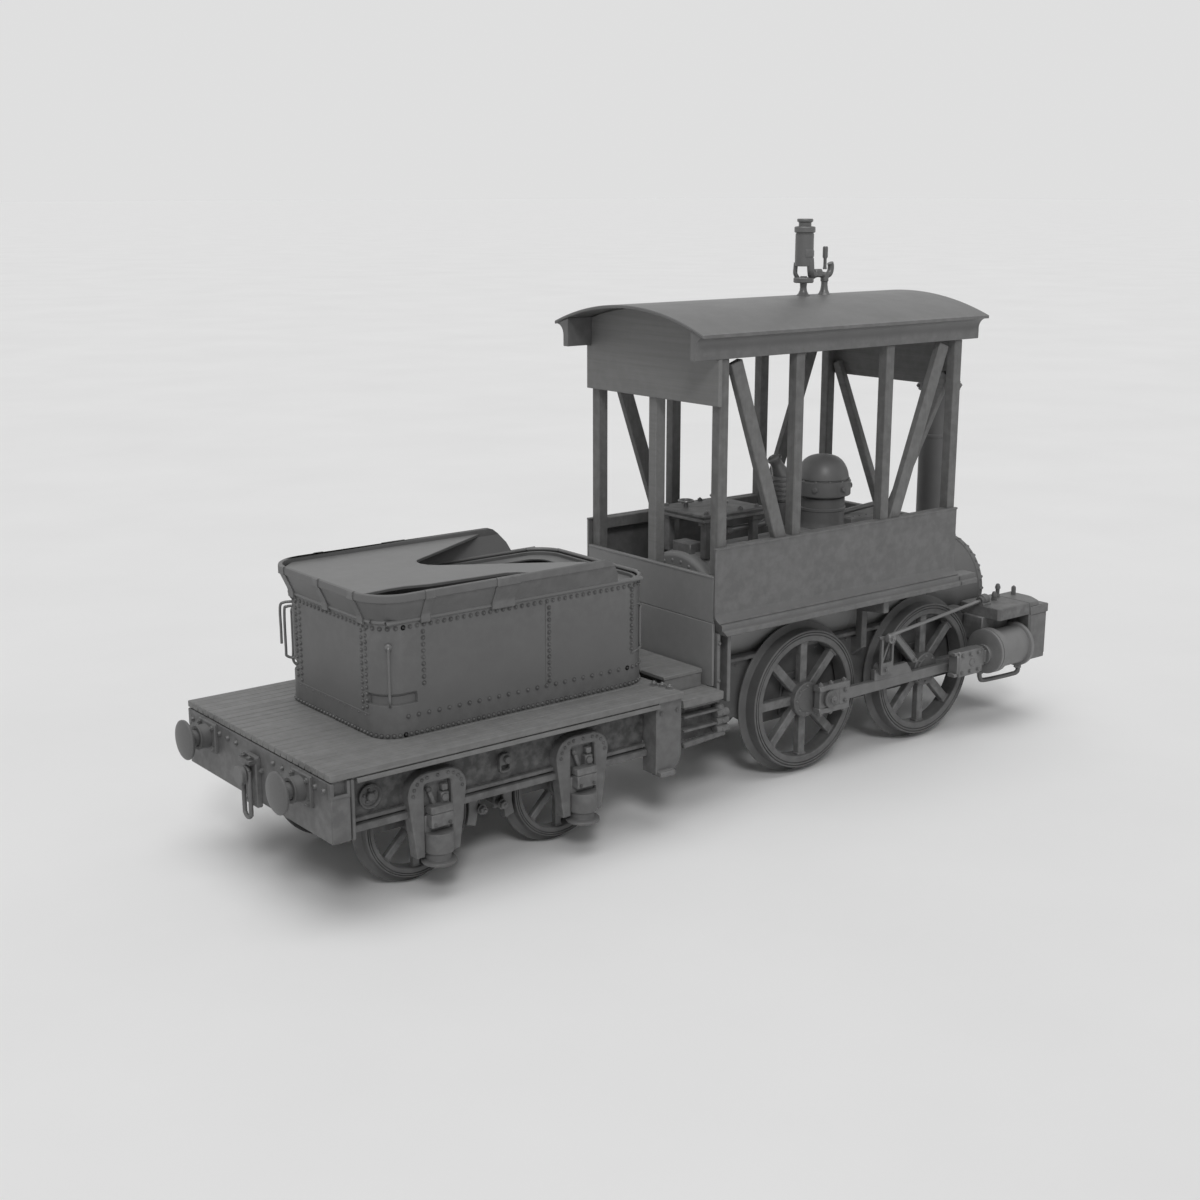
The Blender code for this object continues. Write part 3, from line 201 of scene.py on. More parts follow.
# Flat outlines
def arc(u, v, radius, start, end, steps=8):
    """Points along an arc, with its angles in degrees."""
    angles = [math.radians(start + (end - start) * i / steps) for i in range(steps + 1)]
    return [(u + radius * math.cos(a), v + radius * math.sin(a)) for a in angles]


def circle(u, v, radius, sides=24):
    """Points round a circle."""
    return arc(u, v, radius, 0, 360, sides)[:-1]


def turns(count, shift=0.0):
    """Angles an equal step apart round a circle."""
    return [2 * math.pi * (i + shift) / count for i in range(count)]


def round_box(u0, u1, v0, v1, radius, steps=6):
    """A rectangle with rounded corners."""
    return (
        arc(u1 - radius, v1 - radius, radius, 0, 90, steps)
        + arc(u0 + radius, v1 - radius, radius, 90, 180, steps)
        + arc(u0 + radius, v0 + radius, radius, 180, 270, steps)
        + arc(u1 - radius, v0 + radius, radius, 270, 360, steps)
    )


def eased(profile, cut=0.4, ring=False):
    """A profile with each of its corners cut off a little, so that edges catch the light."""
    points = [Vector(p) for p in profile]
    count = len(points)
    result = []
    for i, point in enumerate(points):
        if not ring and i in (0, count - 1):
            result.append(tuple(point))
            continue
        for other in (points[i - 1], points[(i + 1) % count]):
            way = other - point
            step = min(cut, way.length * 0.4)
            result.append(tuple(point + way.normalized() * step))
    return result


def spaced(path, pitch):
    """Places an equal step apart along a path of (place, outward) pairs."""
    lengths = [(b[0] - a[0]).length for a, b in zip(path, path[1:])]
    total = sum(lengths)
    count = max(1, round(total / pitch))
    result = []
    index = 0
    passed = 0.0
    for i in range(count + 1):
        target = total * i / count
        while index < len(lengths) - 1 and passed + lengths[index] < target:
            passed += lengths[index]
            index += 1
        share = (target - passed) / max(lengths[index], 1e-9)
        first, second = path[index], path[index + 1]
        result.append((first[0].lerp(second[0], share), first[1].lerp(second[1], share).normalized()))
    return result


def smooth_path(points, steps, closed):
    """A smooth curve through points."""
    points = [Vector(p) for p in points]
    count = len(points)
    if count < 3:
        return points
    result = []
    for i in range(count if closed else count - 1):
        a = points[(i - 1) % count] if closed or i > 0 else points[0]
        b = points[i]
        c = points[(i + 1) % count]
        d = points[(i + 2) % count] if closed or i + 2 < count else points[-1]
        for k in range(steps):
            t = k / steps
            square = (2 * a - 5 * b + 4 * c - d) * t**2
            cube = (3 * b - a - 3 * c + d) * t**3
            result.append(0.5 * (2 * b + (c - a) * t + square + cube))
    if not closed:
        result.append(points[-1])
    return result


def frame_of(axis):
    """Two directions square to an axis and to each other."""
    axis = Vector(axis).normalized()
    help_axis = UP if abs(axis.z) < 0.9 else Vector((1, 0, 0))
    first = help_axis.cross(axis).normalized()
    return axis, first, axis.cross(first)


class Shape:
    """One mesh in the making; each call adds a closed form to it."""

    def __init__(self, tone=0.0):
        self.verts = []
        self.faces = []
        self.tones = []
        self.tone = tone

    def take(self, verts, faces):
        """Add points and faces in the present tone."""
        start = len(self.verts)
        self.verts += [Vector(v) for v in verts]
        self.faces += [[start + i for i in face] for face in faces]
        self.tones += [self.tone] * len(faces)

    def box(self, low, high, edge=0.5, place=None):
        """A block between two corners with its edges taken off."""
        low_v, high_v = Vector(low), Vector(high)
        middle = (low_v + high_v) / 2
        half = [abs(b - a) / 2 for a, b in zip(low_v, high_v)]
        edge = min(edge, 0.45 * min(half))
        signs = [(x, y, z) for x in (-1, 1) for y in (-1, 1) for z in (-1, 1)]
        verts = []
        for sign in signs:
            for axis in range(3):
                size = [half[k] - (0 if k == axis else edge) for k in range(3)]
                verts.append(Vector([s * d for s, d in zip(sign, size)]))

        def at(sign, axis):
            return signs.index(tuple(sign)) * 3 + axis

        faces = [[at(sign, axis) for axis in range(3)] for sign in signs]
        for a in range(3):
            b, c = (a + 1) % 3, (a + 2) % 3
            for s in (-1, 1):
                loop = []
                for p, q in ((-1, -1), (1, -1), (1, 1), (-1, 1)):
                    sign = [0, 0, 0]
                    sign[a], sign[b], sign[c] = s, p, q
                    loop.append(at(sign, a))
                faces.append(loop)
                for p in (-1, 1):
                    near, far = [0, 0, 0], [0, 0, 0]
                    near[a], near[b], near[c] = s, p, -1
                    far[a], far[b], far[c] = s, p, 1
                    faces.append([at(near, a), at(far, a), at(far, b), at(near, b)])
        place = Matrix.Translation(middle) if place is None else place
        self.take([place @ v for v in verts], faces)

    def bar(self, start, end, width, depth, edge=0.5):
        """A straight bar in an X-Z or Y-Z plane: width in that plane, depth across it."""
        start_v, end_v = Vector(start), Vector(end)
        along = (end_v - start_v).normalized()
        across = AXES["Y"] if abs(along.y) < 1e-6 else AXES["X"]
        turn = Matrix((along, along.cross(across), across)).transposed().to_4x4()
        half = Vector(((end_v - start_v).length / 2, width / 2, depth / 2))
        self.box(-half, half, edge, Matrix.Translation((start_v + end_v) / 2) @ turn)

    def turned(self, profile, centre, axis="Z", sides=40, ring=False):
        """A turned form: (radius, height) along its profile, about an axis through the centre."""
        along, first, second = frame_of(AXES[axis] if isinstance(axis, str) else axis)
        centre = Vector(centre)
        verts = []
        rows = []
        for radius, height in profile:
            rows.append(list(range(len(verts), len(verts) + (1 if radius < 1e-6 else sides))))
            for i in range(len(rows[-1])):
                angle = 2 * math.pi * (i + 0.5) / sides
                way = first * math.cos(angle) + second * math.sin(angle)
                verts.append(centre + along * height + way * radius)
        faces = []
        pairs = list(zip(rows, rows[1:])) + ([(rows[-1], rows[0])] if ring else [])
        for low, high in pairs:
            for i in range(sides):
                j = (i + 1) % sides
                if len(low) == 1 and len(high) == 1:
                    break
                if len(low) == 1:
                    faces.append([low[0], high[j], high[i]])
                elif len(high) == 1:
                    faces.append([low[i], low[j], high[0]])
                else:
                    faces.append([low[i], low[j], high[j], high[i]])
        self.take(verts, faces)

    def rod(self, start, end, radius, end_radius=None, sides=20, edge=0.35):
        """A round bar or a taper between two points, with its ends eased."""
        way = Vector(end) - Vector(start)
        end_radius = radius if end_radius is None else end_radius
        edge = min(edge, radius * 0.4, end_radius * 0.4, way.length * 0.3)
        profile = [(0, 0), (radius - edge, 0), (radius, edge), (end_radius, way.length - edge),
                   (end_radius - edge, way.length), (0, way.length)]
        self.turned(profile, start, way, sides)

    def plate(self, outline, low, high, plane, edge=0.4, holes=()):
        """A flat outline with holes, made thick across its plane, with both its rims eased."""
        curve = bpy.data.curves.new("outline", "CURVE")
        curve.dimensions = "2D"
        curve.fill_mode = "BOTH"
        thick = abs(high - low)
        edge = min(edge, thick * 0.3)
        curve.extrude = thick / 2 - edge
        curve.bevel_depth = edge
        curve.bevel_resolution = 0
        curve.offset = -edge
        for loop in (outline, *holes):
            spline = curve.splines.new("POLY")
            spline.points.add(len(loop) - 1)
            spline.use_cyclic_u = True
            for point, (u, v) in zip(spline.points, loop):
                point.co = (u, v, 0, 1)
        guide = bpy.data.objects.new("outline", curve)
        bpy.context.scene.collection.objects.link(guide)
        bpy.context.view_layer.update()
        flat = bpy.data.meshes.new_from_object(guide.evaluated_get(bpy.context.evaluated_depsgraph_get()))
        bpy.data.objects.remove(guide, do_unlink=True)
        work = bmesh.new()
        work.from_mesh(flat)
        bmesh.ops.remove_doubles(work, verts=work.verts, dist=1e-4)
        work.verts.index_update()
        middle = (low + high) / 2
        places = {"XY": lambda v: (v.x, v.y, middle + v.z), "XZ": lambda v: (v.x, middle + v.z, v.y),
                  "YZ": lambda v: (middle + v.z, v.x, v.y)}
        self.take([places[plane](v.co) for v in work.verts], [[v.index for v in f.verts] for f in work.faces])
        work.free()
        bpy.data.meshes.remove(flat)
        bpy.data.curves.remove(curve)

    def tube(self, points, radius, sides=10, steps=6, closed=False):
        """A round bar bent along a smooth path."""
        path = smooth_path(points, steps, closed)
        count = len(path)
        rings = []
        side = None
        for i, point in enumerate(path):
            before = path[i - 1] if closed or i > 0 else point
            after = path[(i + 1) % count] if closed or i + 1 < count else point
            along = (after - before).normalized()
            side = frame_of(along)[1] if side is None else (side - along * side.dot(along)).normalized()
            other = along.cross(side)
            rings.append([point + (side * math.cos(a) + other * math.sin(a)) * radius for a in turns(sides)])
        self.loft(rings, closed)

    def loft(self, rings, closed=False):
        """A solid through rings of equal count, capped at both ends or closed on itself."""
        count = len(rings[0])
        rows = list(range(len(rings)))
        faces = []
        for a, b in zip(rows, rows[1:] + rows[:1] if closed else rows[1:]):
            for i in range(count):
                j = (i + 1) % count
                faces.append([a * count + i, a * count + j, b * count + j, b * count + i])
        if not closed:
            faces.append(list(range(count))[::-1])
            faces.append([rows[-1] * count + i for i in range(count)])
        self.take([v for ring in rings for v in ring], faces)

    def dome(self, place, outward, radius, height=None, sides=8):
        """A round rivet or bolt head, sunk a little into what it sits on."""
        height = radius * 0.75 if height is None else height
        profile = [
            (0, -0.3), (radius, -0.3), (radius * 0.94, height * 0.35), (radius * 0.6, height * 0.85),
            (0, height),
        ]
        self.turned(profile, place, outward, sides)

    def domes(self, places, radius, height=None):
        """A rivet or bolt head at each (place, outward) pair."""
        for place, outward in places:
            self.dome(place, outward, radius, height)

    def bolt(self, place, outward, width=None, height=None, stud=True):
        """A hexagon head on a washer, with the end of its stud."""
        width = settings().trim.bolt_width / MM if width is None else width
        height = width * 0.55 if height is None else height
        radius = width / math.sqrt(3)
        self.turned([(0, -0.3), (radius * 1.25, -0.3), (radius * 1.25, 0.45), (0, 0.45)], place, outward, 14)
        head = [(0, 0.3), (radius, 0.3), (radius, height * 0.85), (radius * 0.8, height), (0, height)]
        self.turned(head, place, outward, 6)
        if stud:
            self.dome(Vector(place) + Vector(outward) * (height - 0.1), outward, radius * 0.5, radius * 0.5)

    def bolts(self, places, outward, width=None, height=None, stud=True):
        """Bolts that all face one way."""
        for place in places:
            self.bolt(place, outward, width, height, stud)

    def move(self, matrix):
        """Move all that has been added so far."""
        self.verts = [matrix @ v for v in self.verts]

    def make(self, name, finish, body, nodes=(), smooth=38):
        """Turn the shape into a piece that rides on a body and stands for nodes of the frame."""
        mesh = bpy.data.meshes.new(name)
        mesh.from_pydata([v * MM for v in self.verts], [], self.faces)
        work = bmesh.new()
        work.from_mesh(mesh)
        bmesh.ops.recalc_face_normals(work, faces=work.faces)
        work.to_mesh(mesh)
        work.free()
        mesh.attributes.new("tone", "FLOAT", "FACE").data.foreach_set("value", self.tones)
        mesh.shade_smooth()
        mesh.set_sharp_from_angle(angle=math.radians(smooth))
        mesh.materials.append(finish_material(finish))
        obj = bpy.data.objects.new(name, mesh)
        bpy.context.scene.collection.objects.link(obj)
        even = obj.modifiers.new("even_shading", "WEIGHTED_NORMAL")
        even.keep_sharp = True
        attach(obj, body)
        if nodes:
            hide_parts(*nodes)
        return obj


# Shader node groups that the finishes share
def new_group(name, inputs, outputs):
    """An empty shader node group with named sockets."""
    group = bpy.data.node_groups.new(name, "ShaderNodeTree")
    for label, kind, value in inputs:
        socket = group.interface.new_socket(label, in_out="INPUT", socket_type=kind)
        socket.default_value = value
    for label, kind in outputs:
        group.interface.new_socket(label, in_out="OUTPUT", socket_type=kind)
    return group, group.nodes.new("NodeGroupInput").outputs, group.nodes.new("NodeGroupOutput").inputs


def add_node(tree, kind, values=None, links=None, **options):
    """A node with its options, values and incoming links set."""
    made = tree.nodes.new(kind)
    for key, value in options.items():
        setattr(made, key, value)
    for key, value in (values or {}).items():
        made.inputs[key].default_value = value
    for key, source in (links or {}).items():
        tree.links.new(source, made.inputs[key])
    return made.outputs


def noise(tree, vector, scale, detail, rough=0.55):
    """A noise value; its scale may be a number or a link."""
    links = {"Vector": vector}
    values = {"Detail": detail, "Roughness": rough}
    if isinstance(scale, (int, float)):
        values["Scale"] = scale
    else:
        links["Scale"] = scale
    return add_node(tree, "ShaderNodeTexNoise", values, links)["Fac"]


def spread(tree, value, low, high, to_low, to_high):
    """Map a value from one range to another; the ends may be numbers or links."""
    values = {}
    links = {"Value": value}
    names = ("From Min", "From Max", "To Min", "To Max")
    for label, end in zip(names, (low, high, to_low, to_high)):
        if isinstance(end, (int, float)):
            values[label] = end
        else:
            links[label] = end
    return add_node(tree, "ShaderNodeMapRange", values, links)["Result"]


def maths(tree, operation, first, second):
    """A sum of two terms, each a number or a link."""
    values = {}
    links = {}
    for index, term in enumerate((first, second)):
        if isinstance(term, (int, float)):
            values[index] = term
        else:
            links[index] = term
    return add_node(tree, "ShaderNodeMath", values, links, operation=operation)["Value"]


def mottle_group():
    """Soft clouds of tone and a fine skin, for paint and castings."""
    group, put, out = new_group(
        "Mottle",
        [
            ("Scale", "NodeSocketFloat", 40),
            ("Amount", "NodeSocketFloat", 0.06),
            ("Skin", "NodeSocketFloat", 900),
        ],
        [("Tone", "NodeSocketFloat"), ("Height", "NodeSocketFloat")],
    )
    spot = add_node(group, "ShaderNodeTexCoord")["Object"]
    cloud = noise(group, spot, put["Scale"], 6)
    low = maths(group, "SUBTRACT", 1, put["Amount"])
    high = maths(group, "ADD", 1, put["Amount"])
    tone = spread(group, cloud, 0.3, 0.7, low, high)
    # Each face's own tone from its piece; on some pieces this is painted shade or painted light.
    own = add_node(group, "ShaderNodeAttribute", attribute_name="tone")["Fac"]
    group.links.new(maths(group, "ADD", tone, own), out["Tone"])
    group.links.new(noise(group, spot, put["Skin"], 3), out["Height"])
    return group


def grain_group():
    """Long streaks that run one way, for boards and for brushed metal."""
    group, put, out = new_group(
        "Grain",
        [("Stretch", "NodeSocketVector", (20, 400, 400)), ("Amount", "NodeSocketFloat", 0.1)],
        [("Tone", "NodeSocketFloat"), ("Height", "NodeSocketFloat")],
    )
    spot = add_node(group, "ShaderNodeTexCoord")["Object"]
    # Each face's own tone from its piece; on some pieces this is painted shade or painted light.
    own = add_node(group, "ShaderNodeAttribute", attribute_name="tone")["Fac"]
    shift = add_node(group, "ShaderNodeVectorMath", {1: (7, 7, 7)}, {0: own}, operation="MULTIPLY")["Vector"]
    moved = add_node(group, "ShaderNodeVectorMath", None, {0: spot, 1: shift}, operation="ADD")["Vector"]
    stretched = add_node(
        group, "ShaderNodeVectorMath", None, {0: moved, 1: put["Stretch"]}, operation="MULTIPLY"
    )["Vector"]
    streak = noise(group, stretched, 1, 5, 0.65)
    low = maths(group, "SUBTRACT", 1, put["Amount"])
    high = maths(group, "ADD", 1, put["Amount"])
    tone = spread(group, streak, 0.32, 0.68, low, high)
    group.links.new(maths(group, "ADD", tone, own), out["Tone"])
    group.links.new(streak, out["Height"])
    return group


def wear_group():
    """A mask of rubbed edges, broken up so that it isn't even."""
    group, put, out = new_group(
        "Edge wear", [("Amount", "NodeSocketFloat", 0.5)], [("Mask", "NodeSocketFloat")]
    )
    point = add_node(group, "ShaderNodeNewGeometry")["Pointiness"]
    edge = spread(group, point, 0.53, 0.62, 0, 1)
    spot = add_node(group, "ShaderNodeTexCoord")["Object"]
    broken = spread(group, noise(group, spot, 120, 5), 0.4, 0.65, 0.15, 1)
    mask = maths(group, "MULTIPLY", maths(group, "MULTIPLY", edge, broken), put["Amount"])
    group.links.new(mask, out["Mask"])
    return group


def dust_group():
    """A mask of dust that has settled on faces that look up."""
    group, put, out = new_group(
        "Settled dust", [("Amount", "NodeSocketFloat", 0.3)], [("Mask", "NodeSocketFloat")]
    )
    normal = add_node(group, "ShaderNodeNewGeometry")["Normal"]
    rise = add_node(group, "ShaderNodeSeparateXYZ", None, {"Vector": normal})["Z"]
    facing = spread(group, rise, 0.45, 1, 0, 1)
    spot = add_node(group, "ShaderNodeTexCoord")["Object"]
    patch = spread(group, noise(group, spot, 22, 6, 0.6), 0.38, 0.66, 0.2, 1)
    mask = maths(group, "MULTIPLY", maths(group, "MULTIPLY", facing, patch), put["Amount"])
    group.links.new(mask, out["Mask"])
    return group


# Finishes: colour, roughness, metallic value, pattern with its values, bump depth, edge wear and dust
FINISHES = {
    "paint": (
        "paint", 0.46, 0.0, mottle_group, {"Scale": 26, "Amount": 0.05, "Skin": 1400}, 0.00006, 0.3, 0.16,
    ),
    "dark_paint": (
        "dark_paint", 0.55, 0.0, mottle_group, {"Scale": 34, "Amount": 0.08, "Skin": 1100}, 0.00008, 0.4, 0.2,
    ),
    "timber-x": (
        "timber", 0.62, 0.0, grain_group, {"Stretch": (9, 420, 420), "Amount": 0.1}, 0.00014, 0.35, 0.1,
    ),
    "timber-y": (
        "timber", 0.62, 0.0, grain_group, {"Stretch": (420, 9, 420), "Amount": 0.1}, 0.00014, 0.35, 0.1,
    ),
    "timber-z": (
        "timber", 0.62, 0.0, grain_group, {"Stretch": (420, 420, 9), "Amount": 0.1}, 0.00014, 0.35, 0.1,
    ),
    "steel": (
        "steel", 0.36, 0.25, grain_group, {"Stretch": (60, 900, 900), "Amount": 0.06}, 0.00004, 0.3, 0.06,
    ),
    "iron": (
        "iron", 0.5, 0.1, mottle_group, {"Scale": 60, "Amount": 0.09, "Skin": 700}, 0.00016, 0.45, 0.12,
    ),
}
WORN = 0.25
DUST = 0.25
made_groups = {}
made_finishes = {}


def shared(builder):
    """A node group, built once."""
    if builder not in made_groups:
        made_groups[builder] = builder()
    return made_groups[builder]


def group_node(tree, builder, values):
    """A shared node group placed in a material with its own values."""
    made = tree.nodes.new("ShaderNodeGroup")
    made.node_tree = shared(builder)
    for key, value in values.items():
        made.inputs[key].default_value = value
    return made.outputs


def mixed(tree, mask, under, over):
    """A colour that a mask lays over another."""
    links = {"Factor": mask, "A": under}
    return add_node(tree, "ShaderNodeMix", {"B": over}, links, data_type="RGBA")["Result"]


def finish_material(kind):
    """The material of one finish, built once."""
    if kind in made_finishes:
        return made_finishes[kind]
    colour, roughness, metallic, builder, values, depth, wear, dust = FINISHES[kind]
    base = (*getattr(settings().finish, colour), 1)
    material = bpy.data.materials.new(kind)
    material.use_nodes = True
    tree = material.node_tree
    shader = tree.nodes["Principled BSDF"]
    shader.inputs["Metallic"].default_value = metallic
    pattern = group_node(tree, builder, values)
    toned = add_node(tree, "ShaderNodeHueSaturation", {"Color": base}, {"Value": pattern["Tone"]})["Color"]
    rubbed = group_node(tree, wear_group, {"Amount": wear})["Mask"]
    worn = mixed(tree, rubbed, toned, (WORN, WORN, WORN, 1))
    settled = group_node(tree, dust_group, {"Amount": dust})["Mask"]
    dusty = mixed(tree, settled, worn, (DUST, DUST, DUST * 0.98, 1))
    tree.links.new(dusty, shader.inputs["Base Color"])
    rough = spread(tree, pattern["Tone"], 0.9, 1.1, roughness + 0.07, roughness - 0.05)
    rougher = maths(tree, "ADD", rough, maths(tree, "MULTIPLY", settled, 0.5))
    tree.links.new(rougher, shader.inputs["Roughness"])
    bump_values = {"Strength": 0.6, "Distance": depth}
    bump = add_node(tree, "ShaderNodeBump", bump_values, {"Height": pattern["Height"]})
    tree.links.new(bump["Normal"], shader.inputs["Normal"])
    made_finishes[kind] = material
    return material


# Tender
def make_deck():
    """Boards that run along the deck, on a frame that shows as a lower band at the edge."""
    trim = settings().trim
    gap = trim.plank_gap / MM
    half = DECK_HIGH.y
    top = DECK_HIGH.z
    chance = random.Random(3)
    boards = Shape()
    boards.tone = -0.03
    inset = Vector((1.6, 1.6, 0))
    low = Vector((DECK_LOW.x, -half, DECK_UNDER)) + inset
    boards.box(low, Vector((DECK_HIGH.x, half, DECK_UNDER + 1)) - inset, 0.2)
    for _, side in SIDES:
        boards.box((-377, side * (half - 5), 110.3), (-95.6, side * (half - 0.3), 114), 0.4)
    count = round(2 * half / (trim.plank_width / MM))
    step = 2 * half / count
    for i in range(count):
        left = -half + i * step
        boards.tone = chance.uniform(-0.06, 0.06)
        lift = chance.uniform(0, 0.25)
        low = (DECK_LOW.x, left + gap / 2, DECK_UNDER + 0.8)
        boards.box(low, (DECK_HIGH.x, left + step - gap / 2, top - lift), 0.45)
    boards.tone = 0
    for _, brake_x in BRAKES:
        for _, side in SIDES:
            boards.box((brake_x - 4, side * 60, 102), (brake_x + 4, side * 63, 116))
            boards.bolt((brake_x, side * 59.8, 106), (0, -side, 0))
    boards.make("deck_boards", "timber-x", "tender", ["tender_deck"])
    nuts = Shape()
    for x, y in ((-75, -92), (-74, -100), (-78, -85), (-75, 92), (-74, 100), (-78, 85)):
        nuts.bolt((x, y, top - 0.2), UP, 5)
    nuts.make("deck_nuts", "steel", "tender")


def make_headstock():
    """End beam with notched ends, buffer housings, hook plate and bolts."""
    low, high = -115, 115
    back, front = -399, -383
    beam = Shape(-0.18)
    beam.box((back, low, 68.5), (front, high, 102.6), 0.9)
    beam.box((back, low + 4.2, 101), (front, high - 4.2, 114.1), 0.7)
    beam.box((-382.6, low, 68.5), (-379.5, high, 114.1), 0.7)
    for _, side in SIDES:
        end = side * high
        beam.box((back, end, 101), (back + 3, end - side * 6, 114.1), 0.5)
        beam.box((front - 2.6, end, 101), (front, end - side * 6, 114.1), 0.5)
        beam.rod((back + 1.5, end - side * 1.2, 103), (front - 1, end - side * 1.2, 103), 1.6)
        centre = side * BUFFER_Y
        beam.box((-402, centre - 14, 89.5), (-398.4, centre + 14, 113.5), 0.7)
        housing = [
            (6.9, 0), (11.4, 0), (11.4, 2.2), (9.7, 3.4), (9.4, 11.4), (9.9, 11.8), (9.9, 13.2),
            (6.9, 13.2),
        ]
        beam.turned(eased(housing, 0.3, True), (-398, centre, BUFFER_Z), (-1, 0, 0), 32, True)
        beam.bolts([(-402, centre + y, z) for y in (-11, 11) for z in (92.6, 110.4)], (-1, 0, 0), 3.6)
    beam.box((-403.4, -9, 66), (-398.4, 9, 106), 0.8)
    for y in (-6, 6):
        beam.dome((-403.4, y, 70), (-1, 0, 0), 1.6, 0.9, 12)
    beam.bolts([(-399, 11.6, 88), (-399, -11.6, 96)], (-1, 0, 0), 3.6)
    beam.make("headstock_beam", "paint", "tender", ["tender_headstock"])
    # Painted shade: these heads are darkened to stand for the shadow round each rivet; the plate and bolts
    # after them share it.
    heads = Shape(-0.4)
    for y in (30, 44, 58, 93.5, 106):
        for side in (-1, 1):
            heads.dome((back, side * y, 107), (-1, 0, 0), 2.3, 2.6, 14)
    heads.box((-409, -9, 101), (-402, 9, 104.5), 0.5)
    heads.bolts([(-406, y, 104.5) for y in (-5, 5)], UP, 4)
    heads.tone = -0.1
    drum = eased([(0, 0), (3.2, 0), (3.2, 6.6), (7.6, 6.6), (7.6, 11), (0, 11)], 0.5)
    heads.turned(drum, (-403, 0, HOOK_Z), (-1, 0, 0), 32)
    heads.make("headstock_bolts", "steel", "tender")
    link = Shape()
    loop = round_box(-5.2, 5.2, 57.6, 97.3, 5, 4)
    link.tube([(-406.9, y, z) for y, z in loop], 1.75, 12, 2, True)
    link.make("coupling_loop", "iron", "coupling_link_body", ["coupling_link"])
    for name, side in SIDES:
        head = Shape(-0.25)
        profile = [
            (0, 1.5), (6, 1.3), (12, 0.6), (15, -0.2), (15.9, -1), (16, -1.8), (15.7, -2.9), (14.6, -3.5),
            (8.5, -4.3), (6.8, -5.2), (6.5, -6.4), (6.5, -31.5), (6, -32), (0, -32),
        ]
        head.turned(profile, (-422.1, side * BUFFER_Y, BUFFER_Z), (-1, 0, 0), 48)
        head.make("buffer_head_" + name, "steel", "buffer_%s_body" % name, ["buffer_" + name])


def make_sole_bars():
    """Channels with two bars for a lower flange, and the small brackets on their webs."""
    rear, front = -379.2, -95.5
    for name, side in SIDES:
        # Painted shade: the web is darkened to stand for the deck's shadow on it; the flange bars and
        # fittings after them get less of it.
        bar = Shape(-0.72)
        bar.box((rear, side * 87, 68.6), (front, side * 92.5, 113), 0.5)
        bar.tone = -0.25
        for y1, z0, z1 in ((98, 108.2, 114.1), (96, 73.2, 76.4), (98, 66.1, 71.6)):
            bar.box((rear, side * 87, z0), (front, side * y1, z1), 0.5)
        web = side * 92.5
        out = Vector((0, side, 0))
        ring = [(7.6, 0), (9.4, 0), (9.4, 2.6), (8.4, 3.2), (7.6, 2.2)]
        boss = Vector((-355.5, web, 89.8))
        bar.turned(ring, boss, out, 32, True)
        bar.turned([(0, 0), (7.6, 0), (7.6, 0.8), (0, 0.8)], boss, out, 24)
        for angle in turns(5):
            way = Vector((math.cos(angle + 0.4), 0, math.sin(angle + 0.4)))
            bar.dome(boss + out * 0.7 + way * 4.6, out, 1.5, 1.6)
        bar.turned(eased([(0, 0), (3.4, 0), (3.4, 4.4), (0, 5)], 0.6), boss, out, 20)
        lug = round_box(-241.7, -230.7, 82, 97.9, 4.4)
        bar.plate(lug, web, side * 96.5, "XZ", 0.5, [round_box(-240.1, -232.3, 84.2, 88.6, 1)])
        pin = eased([(0, 0), (2.9, 0), (2.9, 2.8), (1.6, 3.4), (0, 3.4)], 0.4)
        bar.turned(pin, (-235.6, side * 96.5, 93.1), out, 20)
        bar.make("sole_bar_rail_" + name, "dark_paint", "tender", ["sole_bar_" + name])
    drag = Shape(-0.1)
    drag.box((-92, -106, 76), (-74, 106, DECK_UNDER - 0.3), 0.6)
    tongue = [(-76, -11), (-60, -11), (-56, -6), (-56, 6), (-60, 11), (-76, 11)]
    drag.plate(tongue, 89.4, 95, "XY", 0.4, [circle(DRAWBAR_PIN_X, 0, 4.06)])
    for _, side in SIDES:
        corner = arc(-82, 66, 14, -90, 0, 8)
        outline = [(-95, DECK_UNDER - 0.3), (-95, 52)] + corner + [(-68, DECK_UNDER - 0.3)]
        drag.plate(outline, side * 91, side * 109, "XZ", 0.7)
        drag.box((-94, side * 102, 50.5), (-78, side * 114, 55), 0.6)
        for k in range(3):
            drag.box((-93, side * (105 + 3 * k), 54.6), (-79, side * (106.4 + 3 * k), 55.6), 0.2)
        drag.bolts([(-90, side * 109, 104), (-73, side * 109, 104)], (0, side, 0), 3)
    drag.make("drag_beam_steps", "dark_paint", "tender", ["drag_beam"])


